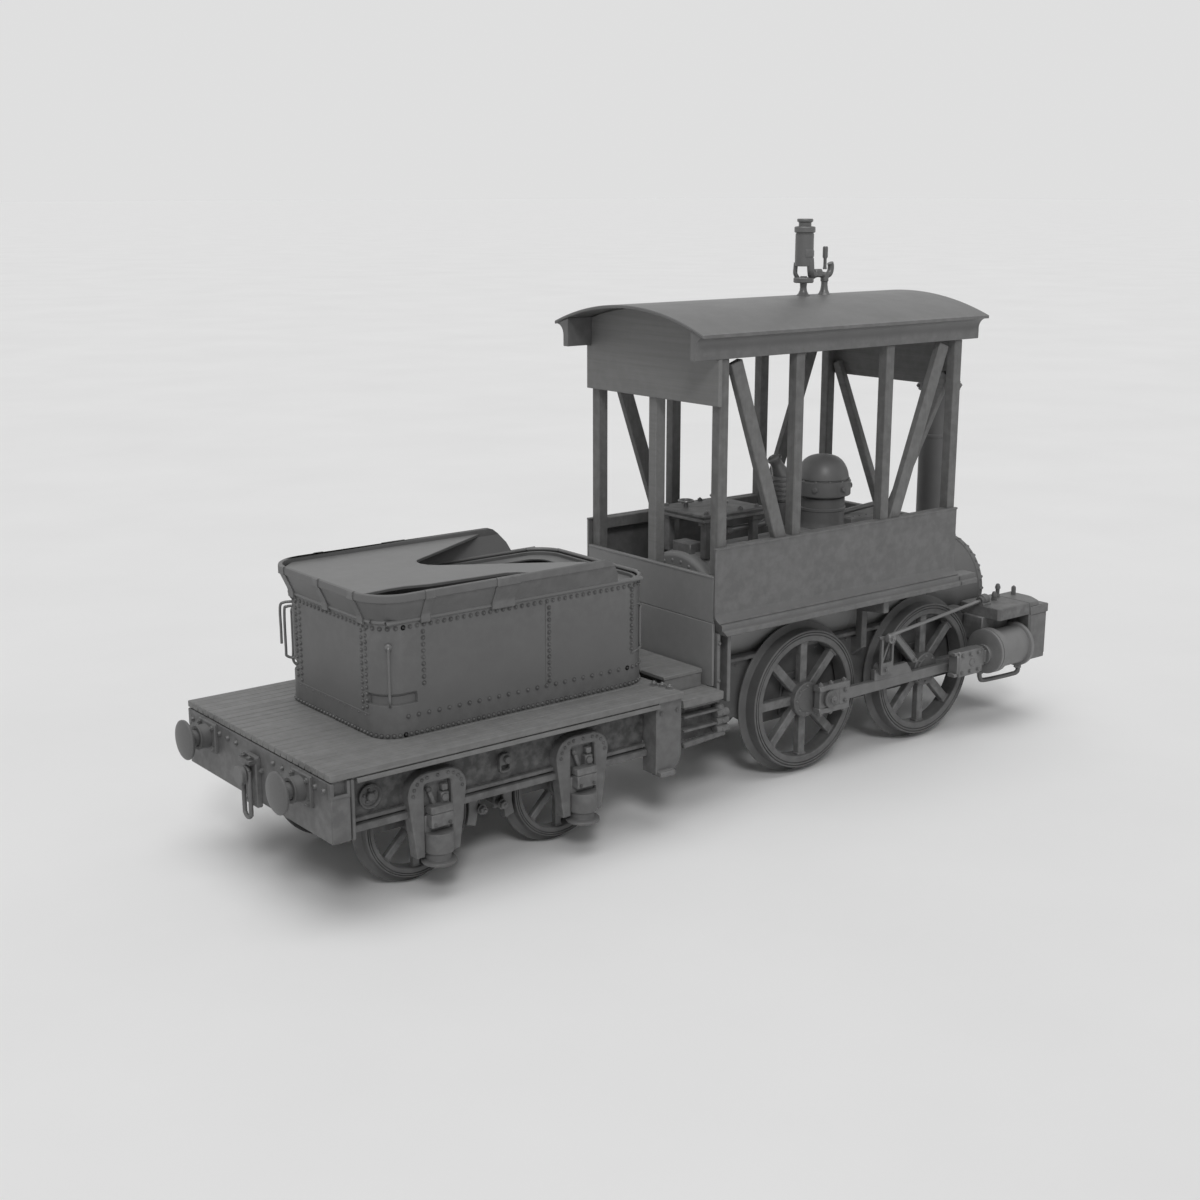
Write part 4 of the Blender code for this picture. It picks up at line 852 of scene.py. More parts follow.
def make_pedestals():
    """Deep horseshoe castings with bolts round the arch, axlebox, keep and spring cup."""
    for axle, x in TENDER_AXLES:
        for name, side in SIDES:
            out = Vector((0, side, 0))
            cast = Shape(-0.1)
            outline = (
                [(x + 19.2, 34)] + arc(x + 8.8, 83.5, 17, 0, 90, 10) + arc(x - 8.8, 83.5, 17, 90, 180, 10)
                + [(x - 19.2, 34), (x - 12, 34)] + arc(x - 9.4, 88.9, 2.6, 180, 90, 4)
                + arc(x + 9.4, 88.9, 2.6, 90, 0, 4) + [(x + 12, 34)]
            )
            cast.plate(outline, side * 91.5, side * 102.2, "XZ", 0.9)
            cast.box((x - 12.4, side * 90, 72), (x + 12.4, side * 96.4, 92), 0.3)
            cast.box((x - 11.6, side * 84, 39), (x + 11.6, side * 101, 66), 0.8)
            cast.box((x - 9.6, side * 99, 57.5), (x + 9.6, side * 108, 67.8), 0.6)
            cast.box((x - 9.6, side * 99, 68.1), (x + 9.6, side * 107.7, 74), 0.6)
            cast.box((x - 8.6, side * 99, 66), (x + 8.6, side * 107, 70), 0.2)
            cast.bar((x - 7.4, side * 99, 87), (x - 1.6, side * 99, 71), 3.2, 4, 0.5)
            cast.box((x + 2.6, side * 95, 72), (x + 9.6, side * 102.6, 82), 0.8)
            cast.turned(eased([(0, 0), (3, 0), (3, 2), (0, 2.6)], 0.4), (x + 5.4, side * 102.4, 78), out, 18)
            cast.box((x + 4.4, side * 95, 82.4), (x + 9.8, side * 101, 87.6), 0.7)
            cup = [
                (0, 0), (13.2, 0), (13.7, 0.6), (13.7, 2), (13, 2.8), (10, 3.4), (9.5, 4.4), (9.5, 8.4),
                (11.2, 9), (11.7, 9.7), (11.7, 24.4), (11, 25), (0, 25),
            ]
            cast.turned(cup, (x, side * 101.5, 28), UP, 40)
            cast.tone = -0.45
            ring = [(sign * (8.8 + 13 * math.cos(a)), 83.5 + 13 * math.sin(a)) for sign in (-1, 1)
                    for a in (0.05, 0.42, 0.79, 1.16, 1.53)]
            for dx, z in ring + [(0, 96.6)]:
                cast.dome((x + dx, side * 102.2, z), out, 1.5, 1.1, 10)
            cast.dome((x - 7.4, side * 101, 86.4), out, 2.4, 1.6, 12)
            cast.bolts([(x + dx, side * 108, 60) for dx in (-6.4, 6.4)], out, 2.2)
            place = "%s_%s" % (axle, name)
            cast.make("pedestal_casting_" + place, "iron", "tender", ["pedestal_" + place])


def wheel_form(shape, x, z, side, face, tread, flange, hub):
    """A flanged wheel: stepped tyre and rim, flat spokes with feet at the rim, and a bolted hub."""
    wide = face - WHEEL_BACK
    scale = tread / 64
    rim = tread - 10.4 * scale
    profile = [
        (rim, 0.6), (rim + 1, 0), (flange - 1.2, 0), (flange, 1.2), (flange, 2.4), (tread + 1, 4.2),
        (tread, 5), (tread, wide - 0.6), (tread - 0.6, wide), (tread - 1.5 * scale, wide),
        (tread - 1.8 * scale, wide - 1.3), (tread - 2.4 * scale, wide - 1.3), (tread - 2.7 * scale, wide),
        (tread - 3.9 * scale, wide), (tread - 4.2 * scale, wide - 1.3), (tread - 4.8 * scale, wide - 1.3),
        (tread - 5.1 * scale, wide - 0.2), (rim + 0.8, wide - 0.2), (rim, wide - 1),
    ]
    centre = Vector((x, side * WHEEL_BACK, z))
    out = Vector((0, side, 0))
    shape.turned(profile, centre, out, 80, True)
    hub_profile = [(0, 0.4), (hub * 0.8, 0.4), (hub, 1.4), (hub, wide + 0.6), (hub - 0.8, wide + 1.4),
                   (hub * 0.72, wide + 1.4), (hub * 0.68, wide + 2), (0, wide + 2)]
    shape.turned(hub_profile, centre, out, 40)
    count = settings().trim.spokes
    middle = side * (WHEEL_BACK + wide * 0.55)
    for i in range(count):
        angle = 2 * math.pi * i / count
        way = Vector((math.sin(angle), 0, math.cos(angle)))
        axle = Vector((x, middle, z))
        shape.bar(axle + way * hub * 0.7, axle + way * (rim + 2), 8.2 * scale, wide * 0.42, 0.6)
        shape.bar(axle + way * (rim - 2 * scale), axle + way * (rim + 1), 10.4 * scale, wide * 0.5, 0.5)
        spot = Vector((x, side * (face + 1.2), z)) + way * hub * 0.8
        shape.dome(spot, out, 1.6 * scale, 1.4 * scale)


def make_tender_wheels():
    """Two wheelsets, each with its axle."""
    for axle, x in TENDER_AXLES:
        wheels = Shape(-0.15)
        for _, side in SIDES:
            wheel_form(wheels, x, TENDER_AXLE_Z, side, face=72, tread=45, flange=51, hub=11)
        shaft = [
            (0, -98), (4.6, -98), (5, -97.6), (5, -74), (6.5, -73), (6.5, -60), (5.6, -52), (5.6, 52),
            (6.5, 60), (6.5, 73), (5, 74), (5, 97.6), (4.6, 98), (0, 98),
        ]
        wheels.turned(shaft, (x, 0, TENDER_AXLE_Z), "Y", 28)
        nodes = ["tender_%s_wheelset" % axle, "tender_%s_flanges" % axle]
        wheels.make("tender_wheels_" + axle, "iron", "tender_%s_wheelset_body" % axle, nodes)


def make_brakes():
    """Cross bars with curved shoes on flat hangers."""
    for (name, x), (_, axle_x) in zip(BRAKES, TENDER_AXLES):
        lean = -1 if x > axle_x else 1
        low, high = (-18, 12) if lean < 0 else (198, 168)
        beam = Shape()
        bar_x = x - lean * 2.5
        beam.rod((bar_x, -74, 47), (bar_x, 74, 47), 3)
        for _, side in SIDES:
            inner = arc(axle_x, TENDER_AXLE_Z, 47.7, low, high, 8)
            outer = arc(axle_x, TENDER_AXLE_Z, 56.4, high, low, 8)
            beam.plate(inner + outer, side * 65, side * 71.4, "XZ", 0.5)
            beam.bar((x, side * 65.4, 110), (bar_x, side * 65.4, 42), 7, 3, 0.4)
            beam.bolt((x, side * 67, 106), (0, side, 0), 4.6)
            beam.bolt((bar_x, side * 73.6, 47), (0, side, 0), 6, 4)
        beam.make("brake_rigging_" + name, "iron", "brake_beam_%s_body" % name, ["brake_beam_" + name])


def tank_plan(offset, front=None, steps=14):
    """Plan of the tank as (place, outward) pairs: a closed loop, or open towards a front end."""
    half = TANK_HIGH.y
    rear = TANK_LOW.x
    fore = TANK_HIGH.x
    corners = [(rear + REAR_RADIUS, REAR_RADIUS, -1, 270, 180), (rear + REAR_RADIUS, REAR_RADIUS, 1, 180, 90)]
    if front is None:
        corners += [
            (fore - FRONT_RADIUS, FRONT_RADIUS, 1, 90, 0), (fore - FRONT_RADIUS, FRONT_RADIUS, -1, 0, -90),
        ]
    path = []
    for middle, radius, side, start, stop in corners:
        centre = Vector((middle, side * (half - radius), 0))
        for x, y in arc(0, 0, 1, start, stop, steps):
            way = Vector((x, y, 0))
            path.append((centre + way * (radius + offset), way))
    if front is None:
        return path + path[:1]
    for side, index in ((-1, 0), (1, len(path))):
        path.insert(index, (Vector((front, side * (half + offset), 0)), Vector((0, side, 0))))
    return path


def at_height(path, z):
    """The same path at a height."""
    return [(Vector((p.x, p.y, z)), n) for p, n in path]


def plan_outline(offset):
    """Plan of the tank as a flat outline."""
    return [(p.x, p.y) for p, _ in tank_plan(offset)[:-1]]


def make_tank():
    """Riveted shell with a bead round its top, toe holes in its rear corners and handrails."""
    bottom, top = TANK_LOW.z, TANK_HIGH.z
    half, rear, front = TANK_HIGH.y, TANK_LOW.x, TANK_HIGH.x
    shell = Shape()
    steps = 16
    corner = steps + 1
    plan = [(place, way, place.x < rear + REAR_RADIUS + 1) for place, way in tank_plan(0, steps=steps)[:-1]]
    for side, end in ((-1, len(plan)), (1, 2 * corner)):
        out = Vector((0, side, 0))
        wall = [(Vector((x, side * half, 0)), out, hole) for x, hole in ((-301, True), (-300.4, False))]
        plan[end:end] = wall if side > 0 else wall[::-1]
    flat = half - REAR_RADIUS - 0.5
    plan[corner:corner] = [(Vector((rear, y, 0)), Vector((-1, 0, 0)), False) for y in (-flat, flat)]
    rings = []
    for place, way, hole in plan:
        deep, back = (-2.4, -5.4) if hole else (0, -3)
        section = [
            (0, bottom), (0, 145.4), (deep * 0.1, 146), (deep, 146.3), (deep, 152.6), (deep * 0.5, 153.6),
            (deep * 0.12, 154.8), (0, 155.6), (0, top), (back, top), (back, bottom),
        ]
        rings.append([place + way * offset + UP * z for offset, z in section])
    shell.loft(rings, True)
    shell.plate(plan_outline(-2), bottom, bottom + 3.2, "XY", 0.3)
    shell.plate(plan_outline(-2), 204.6, 206.2, "XY", 0.3, [round_box(-314, -92, -56, 56, 12)])
    shell.plate(plan_outline(-0.4), 206, top, "XY", 0.3, [plan_outline(-5.5)])
    bead = [tuple(p) for p, _ in at_height(tank_plan(-0.2, steps=10)[:-1], top + 1.2)]
    shell.tone = 0.25
    shell.tube(bead, 1.8, 12, 2, True)
    shell.tone = 0
    shell.box((rear - 0.35, -56, 137.4), (rear + 2, 56, 138.3), 0.1)
    for _, side in SIDES:
        shell.box((-181, side * (half - 1), 139), (-180, side * (half + 0.45), 203.5), 0.1)
    shell.make("tank_shell", "paint", "tender", ["tank"])
    radius = settings().trim.rivet_radius / MM
    height = radius * 1.1
    rivets = Shape()
    around = tank_plan(0)
    spots = spaced(at_height(around, bottom + 1.7), 4.7) + spaced(at_height(around, 205.4), 6)
    for _, side in SIDES:
        low = [(Vector((x, side * half, 136.5)), Vector((0, side, 0))) for x in (-309, -98)]
        spots += spaced(low, 9.2)
        corner = [pair for pair in at_height(around, 136.5) if pair[0].x > -98.1 and pair[0].y * side > 30]
        spots += spaced(corner, 6)
        for x, start in ((-294.4, 160), (-177.6, 140), (-93.3, 152)):
            spots += [(Vector((x, side * half, z)), Vector((0, side, 0))) for z in range(start, 204, 5)]
        for y, start in ((47.2, 141), (53.4, 143.5)):
            spots += [(Vector((rear, side * y, start + 5 * i)), Vector((-1, 0, 0))) for i in range(13)]
    for y in (-40, 40):
        spots += [(Vector((front, y, 138 + 5 * i)), Vector((1, 0, 0))) for i in range(13)]
    # Painted shadow: a dark ring under each rivet and a darkened head stand for the shadow each rivet casts.
    for place, outward in spots:
        rivets.tone = -0.6
        rivets.turned([(0, -0.3), (radius * 1.6, -0.3), (radius * 1.6, 0.08), (0, 0.08)], place, outward, 10)
        rivets.tone = -0.25
        rivets.dome(place, outward, radius, height)
    rivets.tone = 0
    for y in range(-50, 51, 10):
        rivets.dome((rear, y, 136), Vector((-1, 0, 0)), radius * 0.6)
    rivets.make("tank_rivets", "paint", "tender")
    rails = Shape()
    thin = settings().trim.rail_radius / MM
    for _, side in SIDES:
        corner = Vector((rear + REAR_RADIUS, side * (half - REAR_RADIUS), 0))
        way = Vector((-0.55, side * 0.835, 0))
        wall, clear = corner + way * (REAR_RADIUS - 1), corner + way * (REAR_RADIUS + 3.4)
        rails.tube([wall + UP * 192, clear + UP * 191.6, clear + UP * 188, clear + UP * 160, clear + UP * 149,
                    wall - way * 2 + UP * 144.4], thin, 10, 5)
        rails.turned([(0, 0), (2.6, 0), (2.6, 3.6), (1.6, 4.6), (0, 4.8)], wall + UP * 192, way, 18)
        way = Vector((-0.87, side * 0.5, 0))
        wall = corner + way * (REAR_RADIUS - 1)
        tall_rails = ((10.2, 201, 167, True), (7, 197.5, 154.5, False)) if side > 0 else ()
        for reach, head, foot, free in tall_rails:
            clear = wall + way * reach
            rail = [wall + UP * head, wall.lerp(clear, 0.7) + UP * (head - 0.4), clear + UP * (head - 4)]
            if free:
                rail += [clear + UP * (foot + 12), clear + UP * foot]
            else:
                rail += [clear + UP * (foot + 8), clear - way * 0.6 + UP * (foot + 2), wall + UP * foot]
            rails.tube(rail, thin, 10, 5)
        corner = Vector((front - FRONT_RADIUS, side * (half - FRONT_RADIUS), 0))
        way = Vector((0.64, side * 0.77, 0))
        start = Vector((-94, side * (half - 0.6), 0))
        clear = corner + way * (FRONT_RADIUS + 0.8)
        rails.tube([start + UP * 189, clear + UP * 187, clear + UP * 180, clear + UP * 156, clear + UP * 150,
                    start + UP * 148.6], thin, 10, 5)
    rails.make("tank_handrails", "steel", "tender")


# Coping: heights with the outer and inner offset from the tank's wall
FLARE = ((209.2, 0.5, -1.7), (211, 0.7, -1.5), (219, 4.4, 2.2), (226.9, 8, 5.8))
RIM = (
    (226.4, 8, 5.6), (226.9, 9.2, 5.6), (227.4, 9.5, 5.6), (231.4, 9.5, 5.6), (232.5, 9.1, 6),
    (233, 8.2, 6.9),
)
STRAP = (
    (206.6, 1.4), (207.6, 2.4), (212.4, 2.6), (214.5, 3.3), (226.2, 8.8), (226.9, 10.3), (232.6, 10.3),
    (233.3, 9.4),
)
FRONT_ENDS = (
    (209, -108), (215, -109.5), (221, -112.5), (225, -116), (229, -119.6), (231, -122.4), (232.4, -126),
    (233, -130),
)


def coping_front(z):
    """Where the coping's front end is at a height."""
    for (low, low_x), (high, high_x) in zip(FRONT_ENDS, FRONT_ENDS[1:]):
        if z <= high:
            return low_x + (high_x - low_x) * (z - low) / (high - low)
    return FRONT_ENDS[-1][1]


def make_coping():
    """Flared wall with a flat band at its rim, straps, and a coal plate with a notch."""
    wall = Shape()
    for rows in (FLARE, RIM):
        rings = []
        for z, outer, inner in rows:
            face = at_height(tank_plan(outer, coping_front(z)), z)
            back = at_height(tank_plan(inner, coping_front(z)), z)
            rings.append([p for p, _ in face] + [p for p, _ in reversed(back)])
        wall.loft(rings)
    plate_half = TANK_HIGH.y + 6.4
    plate_rear = TANK_LOW.x - 6.4
    near = [
        (plate_rear, 50.5), (-321.5, 48.8), (-305, 47), (-292, 47.4), (-273, 52.7), (-251.5, 54.1),
        (-229, 55.5), (-206, 57), (-198, 60), (-191, 68.2), (-185, plate_half), (-134, plate_half),
    ]
    notch = [
        (-134, -64.5), (-144, -58), (-178, -36), (-212, -15.5), (-232, -2.8), (-238.6, 4), (-241, 11),
        (-240, 19), (-236, 24.6), (-231, 27.5), (-202, 43.4), (-137, plate_half),
    ]
    far = [(plate_rear + 20, plate_half), (plate_rear + 8, 70), (plate_rear, 54)]
    wall.tone = 0.2
    wall.plate([(x, -y) for x, y in near] + notch + far, 226.6, 229.2, "XY", 0.4)
    wall.make("coping_wall", "paint", "tender", ["tank_coping"])
    straps = Shape()

    def strap(place, along, outward, width):
        """A flat strap up the flare, over the bead and the rim, at a place in plan."""
        rings = []
        for z, offset in STRAP:
            outer = place + outward * offset + UP * z
            inner = place + outward * (offset - 2) + UP * z
            side = along * width / 2
            rings.append([outer - side, outer + side, inner + side, inner - side])
        straps.loft(rings)

    for y in (-50, 2.1, 56):
        strap(Vector((TANK_LOW.x, y, 0)), AXES["Y"], Vector((-1, 0, 0)), 8)
    for _, side in SIDES:
        for x, width in ((-293, 8), (-222.3, 21.4)):
            strap(Vector((x, side * TANK_HIGH.y, 0)), AXES["X"], Vector((0, side, 0)), width)
    straps.make("coping_straps", "paint", "tender")


# Engine frame
def make_frames():
    """Frame plates with horn blocks and stays, drawgear and front beam."""
    for name, side in SIDES:
        cheek = Shape(-0.3)
        outline = [
            (-48, 62), (-48, 100), (-2, 100), (4, 115), (340, 115), (347, 108.5), (395.5, 108.5),
            (395.5, 66), (345, 66), (335, 50), (60, 50), (40, 62),
        ]
        holes = [circle(x, ENGINE_AXLE_Z, 9) for x in (DRIVER_X, LEADER_X)]
        cheek.plate(outline, side * 52.2, side * 56.7, "XZ", 0.6, holes)
        out = Vector((0, side, 0))
        for x in (DRIVER_X, LEADER_X):
            horn = [(x - 17, 54), (x + 17, 54), (x + 14, 92), (x - 14, 92)]
            cheek.plate(horn, side * 56.5, side * 58.9, "XZ", 0.5, [circle(x, ENGINE_AXLE_Z, 9)])
        for x in range(20, 340, 20):
            cheek.dome((x, side * 56.7, 110), out, 1.5, 1.2)
        bracket = [(54, 92), (70, 104), (70, 139), (96, 142), (96, 152.2), (62, 152.2), (62, 113), (54, 111)]
        cheek.plate([(side * y, z) for y, z in bracket], 187, 194, "YZ", 0.6)
        cheek.box((4, side * 50, 115), (340, side * 62, 118.4), 0.5)
        cheek.make("frame_cheek_" + name, "dark_paint", "engine", ["main_frame_" + name])
    beam = Shape()
    outline = [
        (-100, 117), (-100, 66), (-95, 61), (95, 61), (100, 66), (100, 117), (56, 117), (56, 80), (-56, 80),
        (-56, 117),
    ]
    beam.plate(outline, 395.8, 423.6, "YZ", 0.9)
    for _, side in SIDES:
        tread = [(395.8, 56), (395.8, 100), (408, 100), (412, 98), (419.6, 84), (421, 78), (421, 56)]
        beam.plate([(x, side * y) for x, y in tread], 116, 120.8, "XY", 0.7)
        beam.box((396.6, side * 90, 108), (424.4, side * 101, 116.6), 0.6)
        beam.box((398, side * 97, 62), (421.6, side * 100.8, 107.6), 0.6)
        beam.bolts([(423.6, side * y, z) for y in (66, 90) for z in (72, 100)], (1, 0, 0), 5)
        beam.bolt((411.6, side * 67, 120.6), UP, 4, 8.6)
    beam.bolts([(423.6, y, 70.5) for y in (-40, -20, 0, 20, 40)], (1, 0, 0), 5)
    beam.make("front_beam_casting", "paint", "engine", ["front_beam"])
    draw = Shape()
    draw.box((-34, -51.8, 78), (-16, 51.8, 99), 0.8)
    draw.box((-70, -9, 82), (-20, 9, 89), 0.8)
    draw.rod((DRAWBAR_PIN_X, 0, 85), (DRAWBAR_PIN_X, 0, 98.6), 4)
    draw.turned([(0, 0), (5.6, 0), (5.6, 2), (4.4, 3), (0, 3)], (DRAWBAR_PIN_X, 0, 95.6), UP, 20)
    draw.make("drawbar_tongue", "iron", "engine", ["drawbar"])


def make_footplate():
    """Footplate boards, the step box on them and the springs under them."""
    chance = random.Random(8)
    boards = Shape()
    for i in range(10):
        left = -100 + 20 * i
        boards.tone = chance.uniform(-0.05, 0.05)
        boards.box((-58, left + 0.15, 99.6), (-12.8, left + 19.85, 106.8 - chance.uniform(0, 0.15)), 0.5)
    boards.make("footplate_boards", "timber-x", "engine", ["footplate"])
    step = Shape()
    for _, side in SIDES:
        step.tone = chance.uniform(-0.03, 0.03)
        step.box((-58.5, side * 72, 106.6), (-17.5, side * 76, 118.6), 0.5)
    step.box((-22, -75, 106.6), (-17.5, 75, 118.6), 0.4)
    step.box((-51, -75, 106.6), (-47, 75, 118.6), 0.4)
    edges = (-77, -46, -15.4, 15.4, 46, 77)
    for low, high in zip(edges, edges[1:]):
        step.tone = chance.uniform(-0.05, 0.05)
        step.box((-60, low + 0.2, 118.4), (-17, high - 0.2, 122), 0.6)
    step.make("step_box_boards", "timber-x", "engine", ["step_box"])
    stack = Shape()
    for _, side in SIDES:
        out = Vector((0, side, 0))
        # Painted shade: the back plate, the leaves and the front block are darker the further in under the
        # footplate they sit.
        stack.tone = -0.5
        stack.box((-54, side * 80, 66), (-8, side * 86, 99), 0.5)
        stack.tone = -0.25
        for z in (98, 90, 78):
            stack.box((-52, side * 86, z - 2.4), (-12, side * 94, z), 0.6)
        stack.bar((-52, side * 92, 64), (-5, side * 92, 67), 4.6, 5, 0.8)
        stack.tone = -0.1
        stack.box((-14, side * 82, 68), (-5, side * 93, 92), 1.6)
        for z in (71, 78, 85):
            stack.rod((-15, side * 92, z), (-1.5, side * 92, z), 3.4)
            stack.dome((-8, side * 94.6, z), out, 2.4, 2, 10)
    stack.make("footplate_springs", "dark_paint", "engine")


def axle_form(shape, x):
    """A plain engine axle with collars inside the frames."""
    profile = [
        (0, -73.7), (6.6, -73.7), (7, -73.3), (7, -50), (8, -49), (8, -40), (7, -39), (7, 39), (8, 40),
        (8, 49), (7, 50), (7, 73.3), (6.6, 73.7), (0, 73.7),
    ]
    shape.turned(profile, (x, 0, ENGINE_AXLE_Z), "Y", 28)


def make_engine_wheels():
    """Driving wheels with crank pins a quarter turn apart, and the front wheelset."""
    for name, side in SIDES:
        wheel = Shape(-0.15)
        wheel_form(wheel, DRIVER_X, ENGINE_AXLE_Z, side, face=76, tread=64, flange=70, hub=16)
        angle = math.radians(0 if name == "right" else 90)
        throw = Vector((math.cos(angle), 0, math.sin(angle))) * CRANK_THROW
        pin = Vector((DRIVER_X, 0, ENGINE_AXLE_Z)) + throw
        out = Vector((0, side, 0))
        profile = [
            (0, 66), (9, 66), (9, 78.8), (8.4, 79.3), (5, 79.3), (5, 89), (7.6, 89), (8, 89.4), (8, 91),
            (7.4, 91.5), (0, 91.5),
        ]
        wheel.turned(profile, pin, out, 28)
        wheel.bolt(pin + out * 91.4, out, 6.4, 3)
        wheel.make("rear_spoked_wheel_" + name, "iron", "driving_wheels", ["rear_wheel_" + name])
    shaft = Shape()
    axle_form(shaft, DRIVER_X)
    shaft.make("rear_axle_shaft", "steel", "driving_wheels", ["rear_axle"])
    pair = Shape(-0.15)
    for _, side in SIDES:
        wheel_form(pair, LEADER_X, ENGINE_AXLE_Z, side, face=76, tread=64, flange=70, hub=16)
    axle_form(pair, LEADER_X)
    pair.make("front_spoked_wheels", "iron", "front_wheels", ["front_wheelset"])


def rod_place(name):
    """Take a piece drawn for the right side's level rod to its own side's crank."""
    if name == "right":
        return Matrix.Identity(4)
    level = Vector((DRIVER_X + CRANK_THROW, 0, ENGINE_AXLE_Z))
    pin = Vector((DRIVER_X, 0, ENGINE_AXLE_Z + CRANK_THROW))
    turn = Matrix.Rotation(math.asin(CRANK_THROW / ROD_LENGTH), 4, "Y")
    return Matrix.Translation(pin) @ turn @ Matrix.Translation(-level)


def make_motion():
    """Connecting rods, valve links, crossheads and valve rods."""
    pin_x = DRIVER_X + CRANK_THROW
    rest = node_mm("crosshead_right")[0].x
    for name, side in SIDES:
        out = Vector((0, side, 0))
        rod = Shape(0)
        hole = circle(pin_x, ENGINE_AXLE_Z, 5.3, 20)
        rod.plate(round_box(pin_x - 12, pin_x + 14, 60, 80, 2), side * 80, side * 87.6, "XZ", 0.6, [hole])
        for z0, z1 in ((57, 62.4), (77.6, 83)):
            rod.box((pin_x - 13, side * 79.6, z0), (pin_x + 26, side * 88.6, z1), 0.6)
        rod.box((pin_x + 13, side * 79.8, 60), (pin_x + 26, side * 88.2, 80), 0.6)
        rod.bolts([(pin_x + dx, side * 85, 83) for dx in (-9, 4, 21)], UP, 4)
        rod.bolts([(pin_x + dx, side * 85, 57) for dx in (-9, 4, 21)], -UP, 4)
        rod.bolts([(pin_x + 20, side * 88.2, z) for z in (65, 75)], out, 3.4)
        shank = [
            (pin_x + 20, 64.4), (pin_x + ROD_LENGTH, 65.6), (pin_x + ROD_LENGTH, 74.4), (pin_x + 20, 75.6),
        ]
        rod.plate(shank, side * 81, side * 87, "XZ", 0.8)
        pad = [(189, 71), (244, 71), (233, 85.6), (189, 85.6)]
        rod.plate(pad, side * 81.4, side * 86.6, "XZ", 0.5)
        rod.rod((197, side * 81, 86), (197, side * 89, 86), 5)
        eye = [(0, 0), (9, 0), (9, 9), (6, 9), (6, 8.4), (3, 8.4), (3, 9), (0, 9)]
        rod.turned(eased(eye, 0.4), (pin_x + ROD_LENGTH, side * 79.6, ENGINE_AXLE_Z), out, 28)
        rod.move(rod_place(name))
        body = "connecting_rod_%s_body" % name
        rod.make("connecting_rod_bar_" + name, "steel", body, ["connecting_rod_" + name])
        link = Shape()
        slot = round_box(193.2, 204.6, 92.6, 115, 1, 2)
        link.plate(round_box(190.4, 207, 81, 119, 1.6, 3), side * 89.4, side * 92.8, "XZ", 0.5, [slot])
        link.bar((194, side * 90.4, 93), (203.6, side * 90.4, 115), 1.4, 1.4, 0.2)
        link.box((187.4, side * 89.2, 116.4), (210, side * 93, 119), 0.4)
        link.bar((208, side * 91.2, 117.6), (238, side * 91.2, 87), 5, 3, 0.5)
        link.bolt((236.6, side * 92.6, 88.4), out, 3.4)
        link.bolt((197, side * 92.8, 86), out, 4.2)
        link.move(rod_place(name))
        link.make("valve_link_frame_" + name, "steel", "valve_link_%s_body" % name, ["valve_link_" + name])
        shift = node_mm("crosshead_" + name)[0].x - rest
        head = Shape(0.1)
        head.box((289, side * 89.4, 66), (326, side * 101, 85), 0.8)
        head.box((291, side * 89.8, 63), (322, side * 102, 88), 0.9)
        for z in (63.4, 84.4):
            head.box((286, side * 91, z), (327, side * 100, z + 3.4), 0.5)
        head.bolts([(x, side * 102, z) for x in (295, 306.5, 318) for z in (67, 84)], out, 3.2)
        head.dome((309, side * 102, 75.5), out, 4, 1.6, 18)
        for x, reach in ((326.6, 8.5), (330.2, 6)):
            head.box((x, side * 89.6, CYLINDER_Z - reach), (x + 3, side * 100, CYLINDER_Z + reach), 0.5)
        head.rod((330, side * CYLINDER_Y, CYLINDER_Z), (380, side * CYLINDER_Y, CYLINDER_Z), 3.2)
        head.rod((377.5, side * CYLINDER_Y, CYLINDER_Z), (384, side * CYLINDER_Y, CYLINDER_Z), 11.9)
        head.move(Matrix.Translation((shift, 0, 0)))
        head.make("crosshead_block_" + name, "steel", "crosshead_%s_body" % name, ["crosshead_" + name])
        start, end = [Vector((x, side * y, z)) for x, y, z in VALVE_ROD_ENDS]
        spindle = Shape(0.4)
        spindle.rod(start, end + (end - start).normalized() * 10, 1.75)
        spindle.rod((197, side * 94, 117), (197, side * 99.5, 117), 4.6)
        spindle.bolt((197, side * 99.4, 117), out, 4)
        spindle.make("valve_spindle_" + name, "steel", "valve_rod_%s_body" % name, ["valve_rod_" + name])


